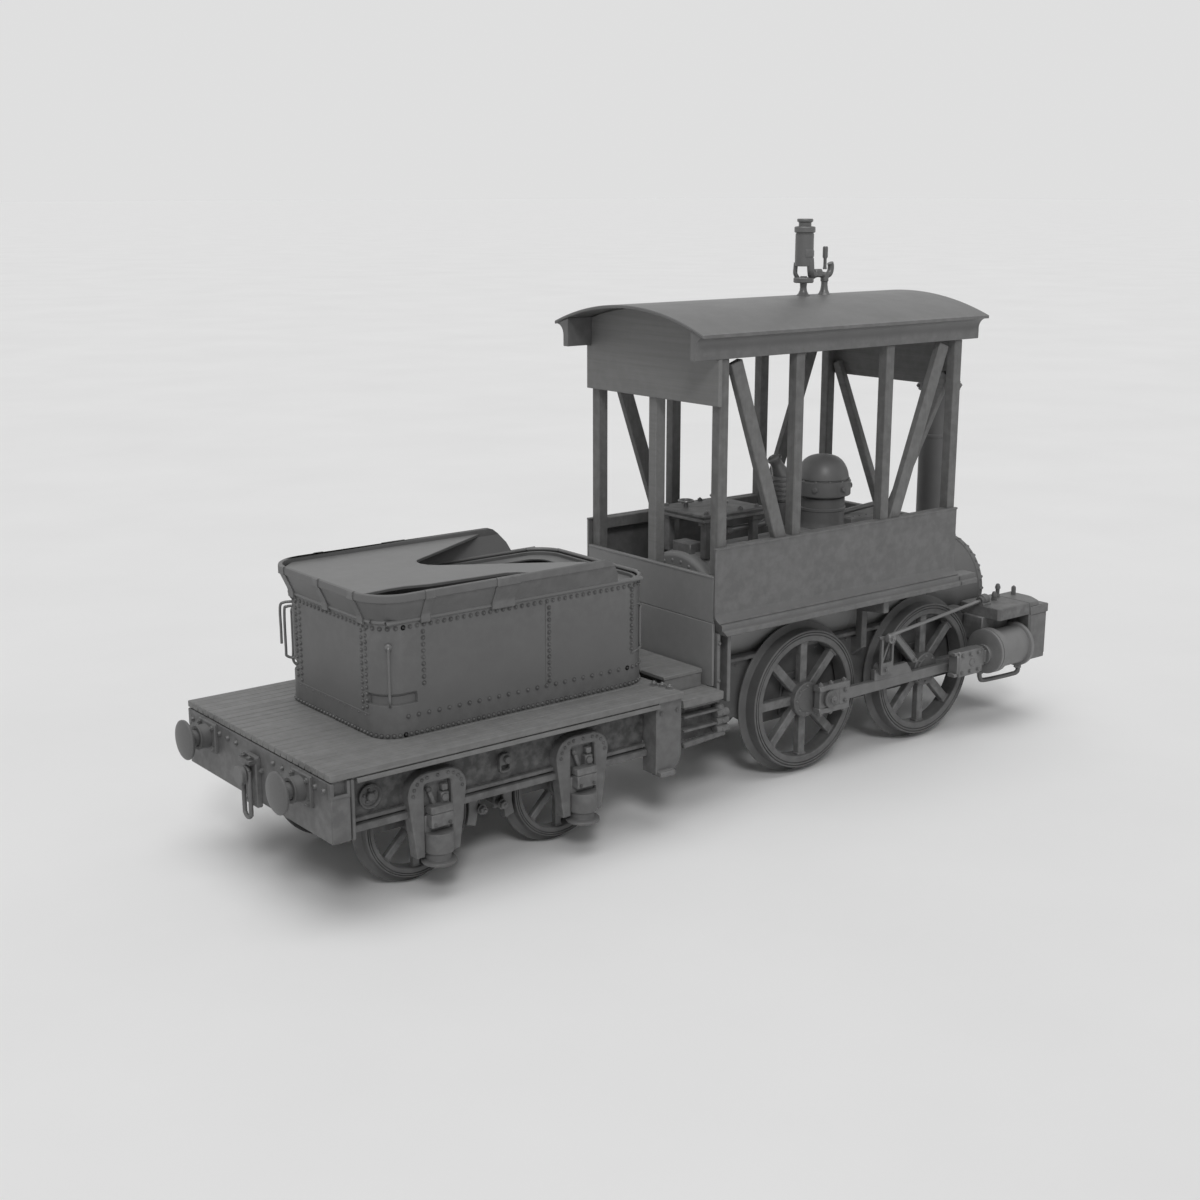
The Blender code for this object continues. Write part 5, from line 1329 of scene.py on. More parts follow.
def make_cylinders():
    """Barrels with ringed covers, steam chests, the platform over them and the drain pipes."""
    for name, side in SIDES:
        centre = Vector((337.5, side * CYLINDER_Y, 79.5))
        # Painted highlight: the barrel and its covers are lightened to stand for the light along the barrel.
        cast = Shape(0.45)
        profile = [
            (6.2, 0), (20, 0), (22, 0.8), (22, 3.2), (21.2, 3.6), (21.2, 4.2), (22, 4.6), (22, 10.8),
            (21.2, 11.5), (19.3, 11.9), (19, 12.6), (19, 44.6), (19.4, 45.2), (21.4, 45.6), (22, 46.2),
            (22, 49.4), (21.2, 50.5), (15.4, 50.5), (15, 47.4), (15, 3.2), (6.2, 3.2),
        ]
        cast.turned(profile, centre, "X", 64, True)
        cast.turned([(0, 47), (15.2, 47), (15.2, 50.2), (8, 50.5), (0, 50.5)], centre, "X", 32)
        for angle in turns(8, 0.5):
            spot = centre + Vector((50.4, 18 * math.cos(angle), 18 * math.sin(angle)))
            cast.bolt(spot, AXES["X"], 3, 1)
        gland = Vector((337.5, side * CYLINDER_Y, CYLINDER_Z))
        collar = eased([(3.7, -2.5), (9.6, -2.5), (9.6, 0.4), (3.7, 0.4)], 0.4, True)
        cast.turned(collar, gland, "X", 28, True)
        cast.tone = -0.12
        cast.box((346, side * 58, 86), (386, side * 82, 110), 0.9)
        corner = [(349.3, 51.5), (395.2, 51.5), (395.2, 100), (352, 100), (349.3, 97.4)]
        cast.plate([(x, side * y) for x, y in corner], 108.8, 120.8, "XY", 0.7)
        cast.box((349.5, side * 69, 119), (361, side * 80, 123), 0.6)
        start, end = [Vector((x, side * y, z)) for x, y, z in VALVE_ROD_ENDS]
        way = (end - start).normalized()
        gland = Vector((349, side * 74.9, 125))
        nut = eased([(2.2, 0), (4.2, 0), (4.2, 3), (5.4, 3), (5.4, 11), (2.2, 11)], 0.3, True)
        cast.turned(nut, gland, way, 20, True)
        for x, y, tall in ((390, 64, 8), (377.5, 70, 3)):
            cast.bolt((x, side * y, 120.6), UP, 4.6, 3.4, False)
            cast.rod((x, side * y, 121), (x, side * y, 124 + tall), 2)
            cast.dome((x, side * y, 122 + tall), UP, 2.8, 5, 12)
        cast.make("cylinder_casting_" + name, "iron", "engine", ["cylinder_" + name])
        drain = Shape(-0.25)
        path = [
            (341, 86, 62), (341, 86, 55), (342, 86.3, 50), (346, 87, 47.4), (366, 91, 48), (380, 94, 49),
            (386, 95.4, 50), (388, 96, 53), (388, 96, 62),
        ]
        drain.tube([(x, side * y, z) for x, y, z in path], 2.3, 12, 5)
        for x, y in ((341, 86), (387, 96)):
            drain.turned(eased([(0, 0), (3.6, 0), (3.6, 4), (0, 4)], 0.4), (x, side * y, 55), UP, 6)
        drain.make("drain_pipe_" + name, "steel", "engine")


# Cab
def make_cab_base():
    """Moulded sills, a cross sill and channel uprights, with the side and rear panels."""
    base = Shape()
    sill = [
        (80, 152.5), (97.2, 152.5), (98, 153.3), (98, 156.7), (97.4, 157.4), (96, 157.8), (95.6, 158.6),
        (95.6, 161.4), (95, 162.2), (91, 163.6), (89.2, 165), (88.4, 165.7), (80, 165.7),
    ]
    for _, side in SIDES:
        rear_end = [(-12.4 + max(0, 157 - z), side * y, z) for y, z in sill]
        base.loft([rear_end, [(CAB_FRONT, side * y, z) for y, z in sill]])
        low_sill = [(y, min(z, 162.2)) for y, z in sill[:-3]] + [(80, 162.2)]
        base.loft([[(x, side * y, z) for y, z in low_sill] for x in (CAB_FRONT - 1, 315)])
        base.box((-10.3, side * 76, 92), (5, side * 79.6, 153.4), 0.4)
        base.box((-10.3, side * 76, 92), (-7, side * 88, 153.4), 0.4)
        base.box((1, side * 76, 91.6), (5, side * 88.6, 153.4), 0.5)
        base.box((-5.4, side * 79, 98), (-3.8, side * 84, 152), 0.3)
        base.dome((-8.4, side * 88, 145), Vector((0, side, 0)), 1.8, 1.6, 10)
        base.dome((-8.4, side * 88, 112), Vector((0, side, 0)), 1.8, 1.6, 10)
    base.box((-10.3, -82, 152.5), (-2, 82, 165.7), 0.5)
    base.make("cab_sills", "paint", "engine", ["cab_base"])
    for name, side in SIDES:
        panel = Shape()
        panel.box((CAB_REAR, side * 85.3, 166), (CAB_FRONT, side * 87.8, 226), 0.5)
        skirt = [
            (85.4, 166.2), (87.8, 170.4), (88.2, 168.6), (89.2, 166.8), (91, 165.2), (93.6, 163.9),
            (93.6, 163.2), (90.8, 163.9), (88.4, 165.6),
        ]
        panel.plate([(side * y, z) for y, z in skirt], CAB_REAR, CAB_FRONT, "YZ", 0.2)
        panel.box((CAB_REAR, side * 84.6, 225.4), (CAB_FRONT + 0.6, side * 88.3, 227.2), 0.5)
        panel.make("cab_side_sheet_" + name, "paint", "engine", ["cab_side_panel_" + name])
    # Painted light: the rear sheet is lightened to make up for the roof's shadow over it.
    rear = Shape(0.72)
    rear.box((CAB_REAR, -85, 107), (-10.8, 85, 162.2), 0.4)
    rear.box((CAB_REAR, -85, 162.9), (-10.8, 85, 201.6), 0.4)
    rear.box((CAB_REAR + 0.6, -84.6, 156), (-10.8, 84.6, 190), 0.2)
    rear.box((CAB_REAR - 0.5, -85.2, 201), (-10.2, 85.2, 203), 0.5)
    rear.make("cab_rear_sheet", "paint", "engine", ["cab_rear_panel"])


def roof_z(y, under=0.0):
    """Height of the roof's upper side at a place across it, less a depth."""
    crown, eave = 424.6, 406
    rise = crown - eave
    radius = (ROOF_HALF**2 + rise**2) / (2 * rise)
    return crown - radius + math.sqrt(radius**2 - y**2) - under


def arched_board(low, half):
    """A board that fills the arch under the roof, stepped in between the coved rails."""
    inner = min(half, 81.2)
    top = [(inner - 2 * inner * i / 32, roof_z(inner - 2 * inner * i / 32, 3.4)) for i in range(33)]
    foot = [(-half, low), (half, low)]
    if half > inner:
        foot = [(-inner, 384.3), (-half, 384.3), *foot, (half, 384.3), (inner, 384.3)]
    return top + foot


def make_cab_frames():
    """Square posts, waist rails and raking braces, with the arched boards at both ends."""
    low, high = 166, 384.2
    for name, side in SIDES:
        posts = Shape()
        chance = random.Random(5 + side)
        for x in POST_XS:
            posts.tone = chance.uniform(-0.04, 0.04) - 0.2
            posts.box((x, side * 75, low), (x + 10, side * 85, high), 0.7)
        posts.make("cab_posts_" + name, "timber-z", "engine", ["cab_side_frame_" + name])
        rails = Shape(-0.16)
        rails.box((POST_XS[0] + 2, side * 77, 217), (POST_XS[3] + 8, side * 84.5, 227), 0.6)
        y = side * 80.5
        rails.bar((10, y, 381), (67, y, 222), 13, 7, 0.7)
        rails.bar((268, y, 381), (208, y, 222), 13, 7, 0.7)
        rails.make("cab_braces_" + name, "timber-z", "engine")
    # Painted light: the rear board is lightened for the light that falls on the rear faces.
    rear = Shape(0.15)
    rear.plate(arched_board(346, 87.6), CAB_REAR, -9.6, "YZ", 0.5)
    rear.box((-10.3, -5, 166), (0.7, 5, 398), 0.7)
    rear.make("cab_rear_board", "timber-y", "engine", ["cab_rear_frame"])
    fore = Shape()
    fore.plate(arched_board(340, 77), 291.8, 296.5, "YZ", 0.5)
    fore.box((286, -74.6, 203), (293, 74.6, 213), 0.6)
    for side in (-1, 1):
        fore.bar((289.5, side * 70, 352), (289.5, side * 4, 208), 9, 7, 0.7)
    fore.make("cab_front_board", "timber-y", "engine", ["cab_front_frame"])


def make_roof():
    """Bent roof sheet with a rolled edge over coved rails."""
    sheet = Shape(0.08)
    ys = [ROOF_HALF - 2 * ROOF_HALF * i / 56 for i in range(57)]
    outline = [(y, roof_z(y)) for y in ys] + [(y, roof_z(y, 2.6)) for y in reversed(ys)]
    sheet.plate(outline, -41.2, 311.1, "YZ", 0.6)
    for _, side in SIDES:
        cove = arc(97.6, 394, 9.6, 180, 96, 10)
        rail = [(81.5, 384.5), (87.6, 384.5), (88, 384.9), *cove, (97, 404.6), (81.5, 409)]
        sheet.plate([(side * y, z) for y, z in rail], -39.6, 310.1, "YZ", 0.4)
    sheet.make("roof_sheet", "paint", "engine", ["roof"])


# Boiler and its fittings
def barrel_ring(x, radius, z, sides=72):
    """Points round a barrel at a place along it."""
    return [(x, radius * math.cos(a), z + radius * math.sin(a)) for a in turns(sides)]


def make_boiler():
    """Clad barrel with bands and a flanged backhead, and the smokebox with its door."""
    # Painted light: the barrel is lightened far beyond its paint to stand for the light that reaches it
    # inside the cab.
    barrel = Shape(1.1)
    sections = [(19, 53), (20.2, 55.6), (22, 57.4), (25, 58)]
    rings = [barrel_ring(x, radius, BOILER_Z) for x, radius in sections]
    rings.append(barrel_ring(250, 59.4, BOILER_Z + 1))
    rings += [barrel_ring(x, 49, SMOKEBOX_Z + 1) for x in (286, 299.6)]
    barrel.loft(rings)
    band = ((0, -1), (0, 0.7), (0.5, 1), (6.5, 1), (7, 0.7), (7, -1))
    bands = [(x, 58, BOILER_Z) for x in (30, 104, 186, 241)] + [(288, 49, SMOKEBOX_Z + 1)]
    for x, radius, z in bands:
        barrel.loft([barrel_ring(x + d, radius + r, z) for d, r in band])
    for i in range(14):
        angle = math.pi * (i + 0.5) / 14
        spot = Vector((19.6, 50 * math.cos(angle), BOILER_Z + 50 * math.sin(angle)))
        barrel.dome(spot, Vector((-1, 0, 0)), 1.7, 1.5, 10)
    trunk = [(224, -17), (276, -17), (284, -12), (284, 12), (276, 17), (224, 17)]
    barrel.plate(trunk, 200, 214.4, "XY", 1.6)
    barrel.domes([(Vector((x, side * 14, 214.4)), UP) for x in range(230, 276, 9) for side in (-1, 1)], 1.4)
    ring = [(16, 0), (19, 0), (19, 3), (16, 3)]
    barrel.turned(eased(ring, 0.5, True), (19.5, 0, 124), (-1, 0, 0), 32, True)
    barrel.make("boiler_barrel", "dark_paint", "engine", ["boiler"])
    drum = Shape()
    profile = [
        (46, 84), (49.2, 84), (50, 83.2), (50, 78), (49.2, 77.4), (49.2, 7), (50, 6.4), (50, 0.8),
        (49.2, 0), (0, 0), (0, 5), (46, 5),
    ]
    drum.turned(profile, (300, 0, SMOKEBOX_Z), "X", 72, True)
    for x in (302.8, 381):
        for angle in turns(32):
            way = Vector((0, math.cos(angle), math.sin(angle)))
            drum.dome(Vector((x, 0, SMOKEBOX_Z)) + way * 50, way, 1.5, 1.2)
    drum.tone = -0.5
    for angle in turns(26):
        if math.cos(angle) < 0.8:
            spot = (SMOKEBOX_FRONT, 47.6 * math.cos(angle), SMOKEBOX_Z + 47.6 * math.sin(angle))
            drum.dome(spot, AXES["X"], 2, 3, 10)
    drum.tone = 0
    drum.box((306, -50, 84), (378, 50, 90), 0.8)
    drum.box((312, -46, 88), (372, 46, 108), 0.8)
    drum.make("smokebox_drum", "dark_paint", "engine", ["smokebox"])
    door = Shape()
    dish = [
        (0, 0), (42.4, 0), (43, 0.6), (43, 2), (42.2, 2.7), (36, 3.4), (30, 4.4), (20, 6.2), (10, 7.2),
        (0, 7.5),
    ]
    door.turned(dish, (SMOKEBOX_FRONT + 0.3, 0, SMOKEBOX_Z), "X", 64)
    for z in (142, 114):
        door.box((386.6, 10, z - 2.5), (390, 47, z + 2.5), 0.6)
        door.rod((388, 46, z - 4), (388, 46, z + 4), 2.6)
    door.turned([(0, 0), (4, 0), (4, 2.4), (2.4, 3), (0, 3)], (391.4, 0, SMOKEBOX_Z), "X", 20)
    door.bar((393, 0, SMOKEBOX_Z), (393, -14, SMOKEBOX_Z - 8), 3, 1.8, 0.4)
    for angle in turns(20):
        if math.cos(angle) <= 0.75:
            spot = (386.8, 39.5 * math.cos(angle), SMOKEBOX_Z + 39.5 * math.sin(angle))
            door.dome(spot, AXES["X"], 1.5, 1.2)
    door.make("smokebox_door_dish", "dark_paint", "smokebox_door_body", ["smokebox_door"])


def make_fittings():
    """Chimney, dome, safety valve, the steam table over the backhead and the pipes."""
    stack = Shape()
    profile = [
        (13, 398), (17.8, 398), (18.5, 397.4), (18.5, 393), (17.5, 391), (17.5, 335), (19.8, 334.4),
        (20.5, 333.6), (20.5, 325.6), (19.8, 324.8), (17.5, 324.4), (17.5, 282.4), (18.2, 281.8),
        (18.2, 279.4), (17.5, 278.8), (17.5, 200), (18, 192), (20, 185), (23, 180.4), (23.4, 179),
        (23.4, 166), (13, 166),
    ]
    stack.turned(profile, (CHIMNEY_X, 0, 0), UP, 56, True)
    for angle in turns(10):
        way = Vector((math.cos(angle), math.sin(angle), 0))
        stack.bolt(Vector((CHIMNEY_X, 0, 329.4)) + way * 20.3, way, 3.4)
    for angle in turns(8, 0.5):
        way = Vector((math.cos(angle), math.sin(angle), 0))
        stack.dome(Vector((CHIMNEY_X, 0, 183)) + way * 21.4, (way + UP).normalized(), 1.6, 1.4)
    stack.make("chimney_stack", "dark_paint", "engine", ["chimney"])
    dome = Shape(0.42)
    top = [
        (0, 276), (4, 275.9), (8, 275.4), (11.6, 274.4), (14.8, 272.9), (17.8, 270.6), (20.4, 267.4),
        (22.5, 263.4), (23.9, 259.4), (24.5, 256), (24.6, 254), (23.6, 253.4),
    ]
    profile = top + [
        (23.6, 252.6), (26, 252.4), (26.6, 251.8), (26.6, 239.2), (26, 238.4), (20, 238), (20, 236.2),
        (21.4, 235.8), (21.4, 227), (22.2, 226.4), (22.2, 224.2), (21.4, 223.6), (21.4, 214), (22, 209),
        (24, 204), (25.4, 201), (25.4, 190), (0, 190),
    ]
    dome.turned(profile, (DOME_X, 0, 0), UP, 64)
    for i, angle in enumerate(turns(12)):
        way = Vector((math.cos(angle), math.sin(angle), 0))
        dome.dome(Vector((DOME_X, 0, 252.3)) + way * 25.4, UP, 1.3, 1.6, 10)
        if i % 2:
            dome.bolt(Vector((DOME_X, 0, 245.6)) + way * 26.4, way, 4.4, 2.4, False)
    dome.make("steam_dome", "paint", "engine", ["dome"])
    valve = Shape(0.1)
    profile = [(0, 261.4), (8.8, 261.4)]
    for z in (260.8, 256.2, 251.6, 247, 242.4):
        profile += [(9.6, z), (9.6, z - 2.8), (8.2, z - 3.2), (8.2, z - 4.2)]
    profile += [(6.4, 236.4), (6.4, 215), (10, 213), (10, 196), (0, 196)]
    valve.turned(profile, (SAFETY_VALVE_X, 0, 0), UP, 40)
    horn = [
        (0, 0), (8.8, 0), (8.4, 2), (6.2, 10), (5.4, 14), (5.6, 17), (6.6, 18.4), (6.8, 20), (5.6, 21),
        (4.6, 19.6), (0, 19),
    ]
    valve.turned(horn, (SAFETY_VALVE_X + 0.5, 0, 261), Vector((-0.5, 0, 0.866)), 32)
    valve.make("safety_valve_horn", "steel", "engine", ["safety_valve"])
    table = Shape()
    table.box((22, -32, 235.5), (98, 32, 238.5), 0.6)
    table.box((24, -30, 238.1), (96, 30, 240.5), 0.5)
    table.box((22, -32, 240.1), (98, 32, 242.5), 0.6)
    for x in (28, 85):
        for y in (-28, 21):
            table.box((x, y, 202.4), (x + 7, y + 7, 239), 0.6)
            table.box((x - 1.4, y - 1.4, 231.5), (x + 8.4, y + 8.4, 236.5), 0.5)
    table.bolts([(x, y, 242.3) for x in (30, 50, 70, 90) for y in (-27, 27)], UP, 4)
    table.box((24.5, -12, 203), (40, 12, 214), 0.8)
    table.make("steam_table", "iron", "engine", ["steam_manifold"])
    pipes = Shape(0.2)
    pipes.tube([(62, -20, 223.5), (80, -20, 224), (111, -20, 224.7)], 2.6, 12)
    pipes.tube([
        (111, -20, 224.7), (124, -19, 224), (132, -14, 218), (134, -10, 208), (134, -8, 202),
    ], 2.2, 10)
    pipes.tube([(62, -20, 223.5), (52, -20, 225), (47, -20, 230), (47, -20, 236)], 2.2, 10)
    pipes.tube([
        (222, 0, 216), (240, 0, 217.6), (276, 0, 220), (292, 0, 219), (300, 0, 210), (302, 0, 176),
    ], 2.6, 12)
    pipes.tube([(226, -6, 208), (238, -6, 204), (252, -4, 199), (258, -2, 190)], 1.6, 10)
    for x, y, z in ((62, -20, 223.5), (109, -20, 224.6)):
        pipes.rod((x - 3, y, z), (x + 3, y, z), 3.8, sides=6)
    for x, y in ((38, 10), (60, -12), (78, 12)):
        pipes.rod((x, y, 241.5), (x, y, 247.5), 2.2)
        rim = [(x + 6.4 * math.cos(a), y + 6.4 * math.sin(a), 248.5) for a in turns(16)]
        pipes.tube(rim, 1, 8, 1, True)
        for i in range(2):
            turn = math.pi * i / 2 + 0.4
            way = Vector((math.cos(turn), math.sin(turn), 0)) * 6.2
            pipes.rod(Vector((x, y, 248.3)) - way, Vector((x, y, 248.3)) + way, 0.7, sides=8)
    pipes.make("steam_pipes", "steel", "engine")


def make_backhead():
    """Firehole door and regulator handle."""
    door = Shape()
    door.plate(round_box(-11, 12, 112, 136, 3), 15, 17.8, "YZ", 0.5)
    door.rod((16.5, 14, 110), (16.5, 14, 138), 2.2)
    for z in (116.5, 131.5):
        door.box((14.2, -6, z - 1.6), (15.6, 15, z + 1.6), 0.3)
        door.bolts([(14.2, y, z) for y in (-3, 6)], (-1, 0, 0), 2.2)
    door.rod((10.5, -8, 124), (16, -8, 124), 1.5)
    door.dome((11, -8, 124), (-1, 0, 0), 2.6, 2.4, 12)
    door.make("firehole_door_leaf", "iron", "firehole_door_body", ["firehole_door"])
    handle = Shape()
    handle.rod((10, 0, 182), (18.6, 0, 182), 5)
    handle.bolt((10.1, 0, 182), (-1, 0, 0), 5)
    handle.plate([(-34, 187), (-34, 192.6), (0, 186.6), (0, 177.4)], 11, 14, "YZ", 0.5)
    grip = [(0, 0), (2.2, 0), (2.4, 1), (1.8, 3), (2.6, 7), (2.4, 10), (1.4, 11.4), (0, 11.6)]
    handle.turned(grip, (13, -33, 189.8), (-1, 0, 0), 20)
    handle.make("regulator_lever", "steel", "regulator_handle_body", ["regulator_handle"])


def make_whistle():
    """Bell whistle on a flared stem, its cross pipe with an upturned end, and the lever pin."""
    x = WHISTLE_X
    bell = Shape()
    stem = [
        (0, 442), (3, 442), (3, 441), (8.4, 441), (9.2, 440.2), (9.2, 437), (8.4, 436.2), (3.3, 436),
        (3, 432), (3.4, 429), (4.6, 426.4), (7.4, 424.2), (7.4, 421), (0, 421),
    ]
    bell.turned(stem, (x, 0, 0), UP, 32)
    cup = [
        (0, 493), (6.7, 493), (7.3, 492.4), (7.3, 490.6), (6.6, 490.2), (5.7, 489.6), (5.7, 486.6),
        (9, 486), (9.5, 485.4), (9.5, 481.4), (8.9, 480.8), (8, 480.6), (8, 479.8), (8.4, 479.4),
        (8.4, 451.6), (8, 451), (6.6, 451), (6.6, 476), (0, 476),
    ]
    bell.turned(cup, (x, 0, 0), UP, 40)
    bell.tube([(x - 2, 5.4, 440), (x - 4, 6.6, 444), (x - 4, 6.8, 448), (x - 3.6, 6.6, 454)], 2, 10)
    bell.tube([
        (x + 1.5, -6.4, 458), (x + 1.5, -7, 452), (x + 2, -7, 446.5), (x + 4.5, -5.4, 443),
        (x + 9, -2.5, 442.4), (x + 14, -0.5, 443.4), (x + 20, 0, 444),
    ], 3.3, 14)
    bell.box((x + 12.5, -3.6, 440.6), (x + 21.5, 3.6, 448), 1.2)
    bell.tube([
        (x + 20, 0, 443.6), (x + 27, 0, 442), (x + 32, 0, 442.8), (x + 34.4, 0, 446), (x + 34.8, 0, 450.4),
        (x + 33.8, 0, 453),
    ], 3, 14)
    foot = [
        (0, 444), (3.4, 444), (3.7, 443.4), (3.7, 437), (3, 436.2), (3, 433), (3.6, 429), (4.8, 426.2),
        (7, 424), (7, 421), (0, 421),
    ]
    bell.turned(foot, (WHISTLE_LEVER_X, 0, 0), UP, 28)
    bell.make("whistle_bell", "steel", "engine", ["whistle"])
    slot = Shape()
    lip = [(8.2, 459), (9, 459.6), (9, 464.6), (8.2, 466.4)]
    rings = []
    for x_way, y_way in arc(0, 0, 1, -125, -55, 8):
        rings.append([(x + x_way * r, y_way * r, z) for r, z in lip])
    slot.loft(rings)
    slot.make("whistle_lip", "steel", "engine")
    pin = Shape()
    profile = [
        (0, -0.5), (1.7, -0.5), (1.9, 0), (1.5, 2), (1.5, 9), (2.4, 10.4), (2.4, 18.8), (1.9, 20), (0, 20),
    ]
    pin.turned(profile, (WHISTLE_LEVER_X, 0, 448), UP, 20)
    pin.make("whistle_pin", "steel", "whistle_lever_body", ["whistle_lever"])


# Stage
def soft_lamp(name, place, strength, spread_deg):
    """A broad lamp far off, shining from a place towards the engine."""
    lamp = bpy.data.lights.new(name, "SUN")
    lamp.energy = strength
    lamp.angle = math.radians(spread_deg)
    obj = bpy.data.objects.new(name, lamp)
    obj.location = place
    obj.rotation_euler = Vector(place).to_track_quat("Z", "Y").to_euler()
    bpy.context.scene.collection.objects.link(obj)


def make_stage():
    """Pale floor and backdrop, soft lamps and the camera."""
    stage = settings().stage
    scene = bpy.context.scene
    scene.view_settings.view_transform = "Standard"
    camera = bpy.data.cameras.new("camera")
    camera.lens = stage.lens
    camera.sensor_width = 36
    obj = bpy.data.objects.new("camera", camera)
    obj.location = stage.camera_place
    obj.rotation_euler = stage.camera_turn
    scene.collection.objects.link(obj)
    scene.camera = obj
    material = bpy.data.materials.new("floor")
    material.use_nodes = True
    tree = material.node_tree
    shader = tree.nodes["Principled BSDF"]
    shader.inputs["Roughness"].default_value = 0.9
    spot = add_node(tree, "ShaderNodeTexCoord")["Object"]
    shade = spread(tree, noise(tree, spot, 3, 4), 0.3, 0.7, 0.98, 1.02)
    toned = add_node(tree, "ShaderNodeHueSaturation", {"Color": (*stage.floor, 1)}, {"Value": shade})["Color"]
    tree.links.new(toned, shader.inputs["Base Color"])
    mesh = bpy.data.meshes.new("floor")
    reach = 60
    corners = [(-reach, -reach, 0), (reach, -reach, 0), (reach, reach, 0), (-reach, reach, 0)]
    mesh.from_pydata(corners, [], [(0, 1, 2, 3)])
    mesh.materials.append(material)
    floor = bpy.data.objects.new("floor", mesh)
    scene.collection.objects.link(floor)
    world = scene.world or bpy.data.worlds.new("world")
    scene.world = world
    world.use_nodes = True
    sky = world.node_tree.nodes["Background"]
    sky.inputs["Color"].default_value = (1, 1, 1, 1)
    path = add_node(world.node_tree, "ShaderNodeLightPath")
    shown = maths(world.node_tree, "MAXIMUM", path["Is Glossy Ray"], path["Is Transmission Ray"])
    seen = maths(world.node_tree, "MAXIMUM", path["Is Camera Ray"], shown)
    strength = spread(world.node_tree, seen, 0, 1, stage.sky, stage.backdrop)
    world.node_tree.links.new(strength, sky.inputs["Strength"])
    soft_lamp("key_light", (-1.35, -2, 2), stage.key_strength, 14)
    soft_lamp("top_light", (-0.4, -0.2, 3), stage.top_strength, 50)


# Operators
class STEAM_ENGINE_OT_stage(Operator):
    """Set out the floor, the lamps and the camera"""

    bl_idname = "steam_engine.stage"
    bl_label = "Stage"

    def execute(self, context):
        make_stage()
        return {"FINISHED"}


class STEAM_ENGINE_OT_tender_deck(Operator):
    """Lay the tender's deck boards"""

    bl_idname = "steam_engine.tender_deck"
    bl_label = "Tender deck"

    def execute(self, context):
        make_deck()
        return {"FINISHED"}


class STEAM_ENGINE_OT_headstock(Operator):
    """Build the headstock with its buffers and coupling"""

    bl_idname = "steam_engine.headstock"
    bl_label = "Headstock"

    def execute(self, context):
        make_headstock()
        return {"FINISHED"}


class STEAM_ENGINE_OT_sole_bars(Operator):
    """Build the sole bars, the drag beam and the steps"""

    bl_idname = "steam_engine.sole_bars"
    bl_label = "Sole bars"

    def execute(self, context):
        make_sole_bars()
        return {"FINISHED"}


class STEAM_ENGINE_OT_tender_gear(Operator):
    """Build the pedestals, tender wheels and brakes"""

    bl_idname = "steam_engine.tender_gear"
    bl_label = "Tender running gear"

    def execute(self, context):
        make_pedestals()
        make_tender_wheels()
        make_brakes()
        return {"FINISHED"}


class STEAM_ENGINE_OT_tank(Operator):
    """Build the riveted tank with its coping and coal plate"""

    bl_idname = "steam_engine.tank"
    bl_label = "Tank"

    def execute(self, context):
        make_tank()
        make_coping()
        return {"FINISHED"}


class STEAM_ENGINE_OT_frames(Operator):
    """Build the engine's frames, front beam, footplate and step box"""

    bl_idname = "steam_engine.frames"
    bl_label = "Engine frames"

    def execute(self, context):
        make_frames()
        make_footplate()
        return {"FINISHED"}


class STEAM_ENGINE_OT_wheels(Operator):
    """Build the engine's wheels and axles"""

    bl_idname = "steam_engine.wheels"
    bl_label = "Engine wheels"

    def execute(self, context):
        make_engine_wheels()
        return {"FINISHED"}


class STEAM_ENGINE_OT_motion(Operator):
    """Build the rods, links, crossheads and cylinders"""

    bl_idname = "steam_engine.motion"
    bl_label = "Motion and cylinders"

    def execute(self, context):
        make_motion()
        make_cylinders()
        return {"FINISHED"}


class STEAM_ENGINE_OT_cab(Operator):
    """Build the cab's sills, sheets, posts, boards and roof"""

    bl_idname = "steam_engine.cab"
    bl_label = "Cab"

    def execute(self, context):
        make_cab_base()
        make_cab_frames()
        make_roof()
        return {"FINISHED"}


class STEAM_ENGINE_OT_boiler(Operator):
    """Build the boiler, the smokebox and its door"""

    bl_idname = "steam_engine.boiler"
    bl_label = "Boiler"

    def execute(self, context):
        make_boiler()
        return {"FINISHED"}


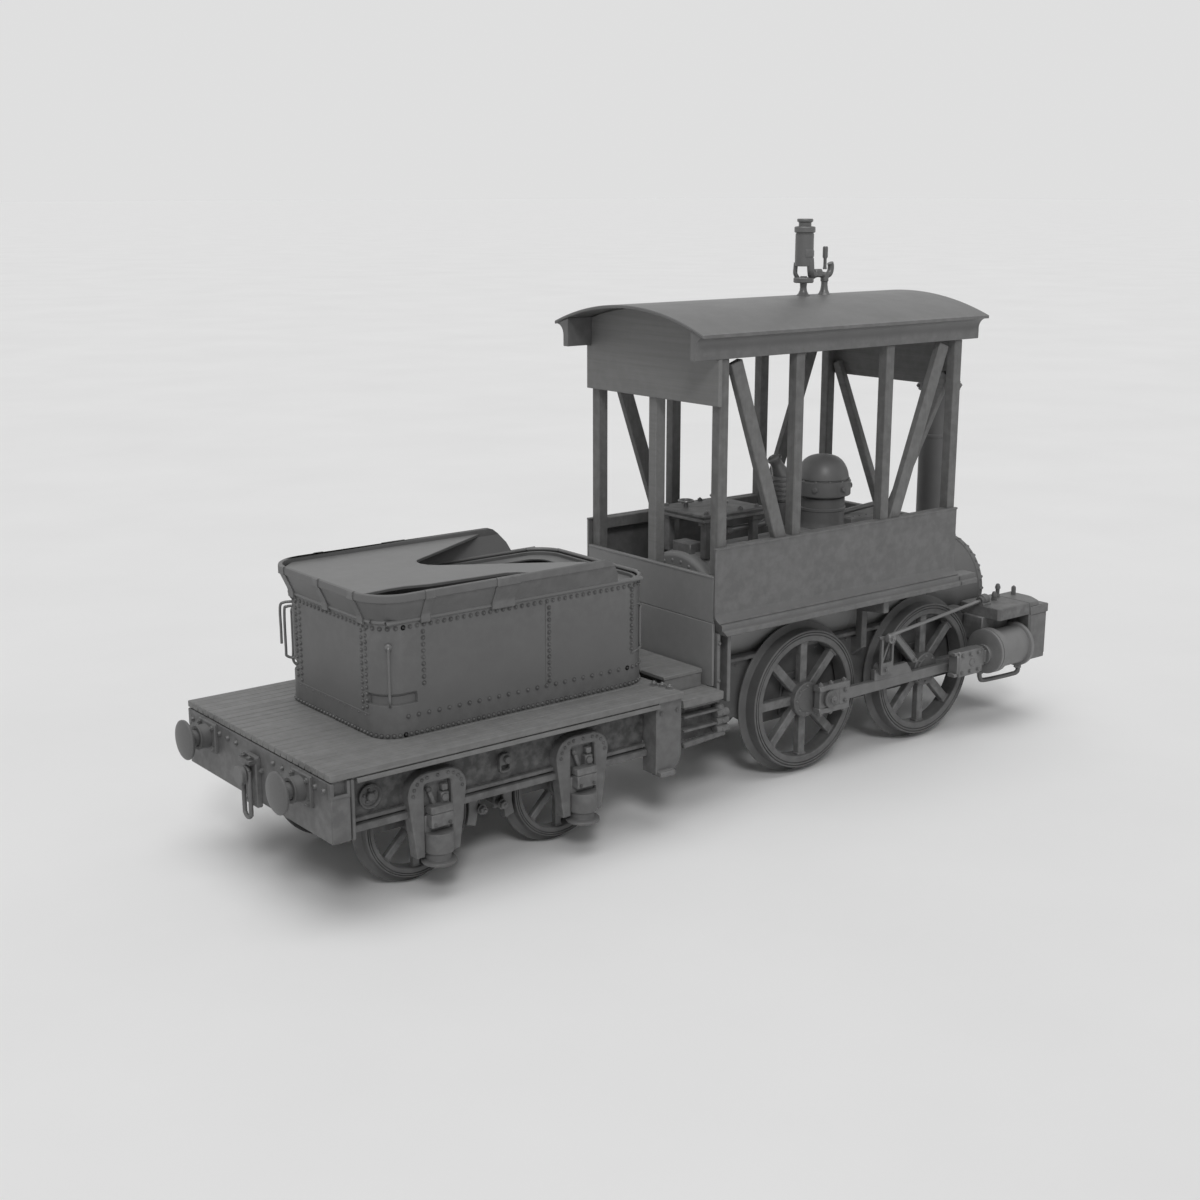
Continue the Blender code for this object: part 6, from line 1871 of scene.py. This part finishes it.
class STEAM_ENGINE_OT_fittings(Operator):
    """Build the chimney, dome, valve, pipes, backhead fittings and whistle"""

    bl_idname = "steam_engine.fittings"
    bl_label = "Boiler fittings"

    def execute(self, context):
        make_fittings()
        make_backhead()
        make_whistle()
        return {"FINISHED"}


OPERATORS = (
    STEAM_ENGINE_OT_stage,
    STEAM_ENGINE_OT_tender_deck,
    STEAM_ENGINE_OT_headstock,
    STEAM_ENGINE_OT_sole_bars,
    STEAM_ENGINE_OT_tender_gear,
    STEAM_ENGINE_OT_tank,
    STEAM_ENGINE_OT_frames,
    STEAM_ENGINE_OT_wheels,
    STEAM_ENGINE_OT_motion,
    STEAM_ENGINE_OT_cab,
    STEAM_ENGINE_OT_boiler,
    STEAM_ENGINE_OT_fittings,
)


class STEAM_ENGINE_PT_panel(Panel):
    """Lists what the engine is built from"""

    bl_label = "Live steam engine"
    bl_space_type = "VIEW_3D"
    bl_region_type = "UI"
    bl_category = "Steam engine"

    def draw(self, context):
        for maker in OPERATORS:
            self.layout.operator(maker.bl_idname)


CLASSES = (FinishSettings, TrimSettings, StageSettings, EngineSettings, *OPERATORS, STEAM_ENGINE_PT_panel)


def register():
    """Add the settings, operators and panel to Blender."""
    for cls in CLASSES:
        bpy.utils.register_class(cls)
    bpy.types.Scene.steam_engine = PointerProperty(type=EngineSettings)


def unregister():
    """Take the settings, operators and panel out again."""
    del bpy.types.Scene.steam_engine
    for cls in reversed(CLASSES):
        bpy.utils.unregister_class(cls)


def main():
    """Build the stage and every piece."""
    register()
    bpy.ops.steam_engine.stage()
    bpy.ops.steam_engine.tender_deck()
    bpy.ops.steam_engine.headstock()
    bpy.ops.steam_engine.sole_bars()
    bpy.ops.steam_engine.tender_gear()
    bpy.ops.steam_engine.tank()
    bpy.ops.steam_engine.frames()
    bpy.ops.steam_engine.wheels()
    bpy.ops.steam_engine.motion()
    bpy.ops.steam_engine.cab()
    bpy.ops.steam_engine.boiler()
    bpy.ops.steam_engine.fittings()


if __name__ == "__main__":
    main()
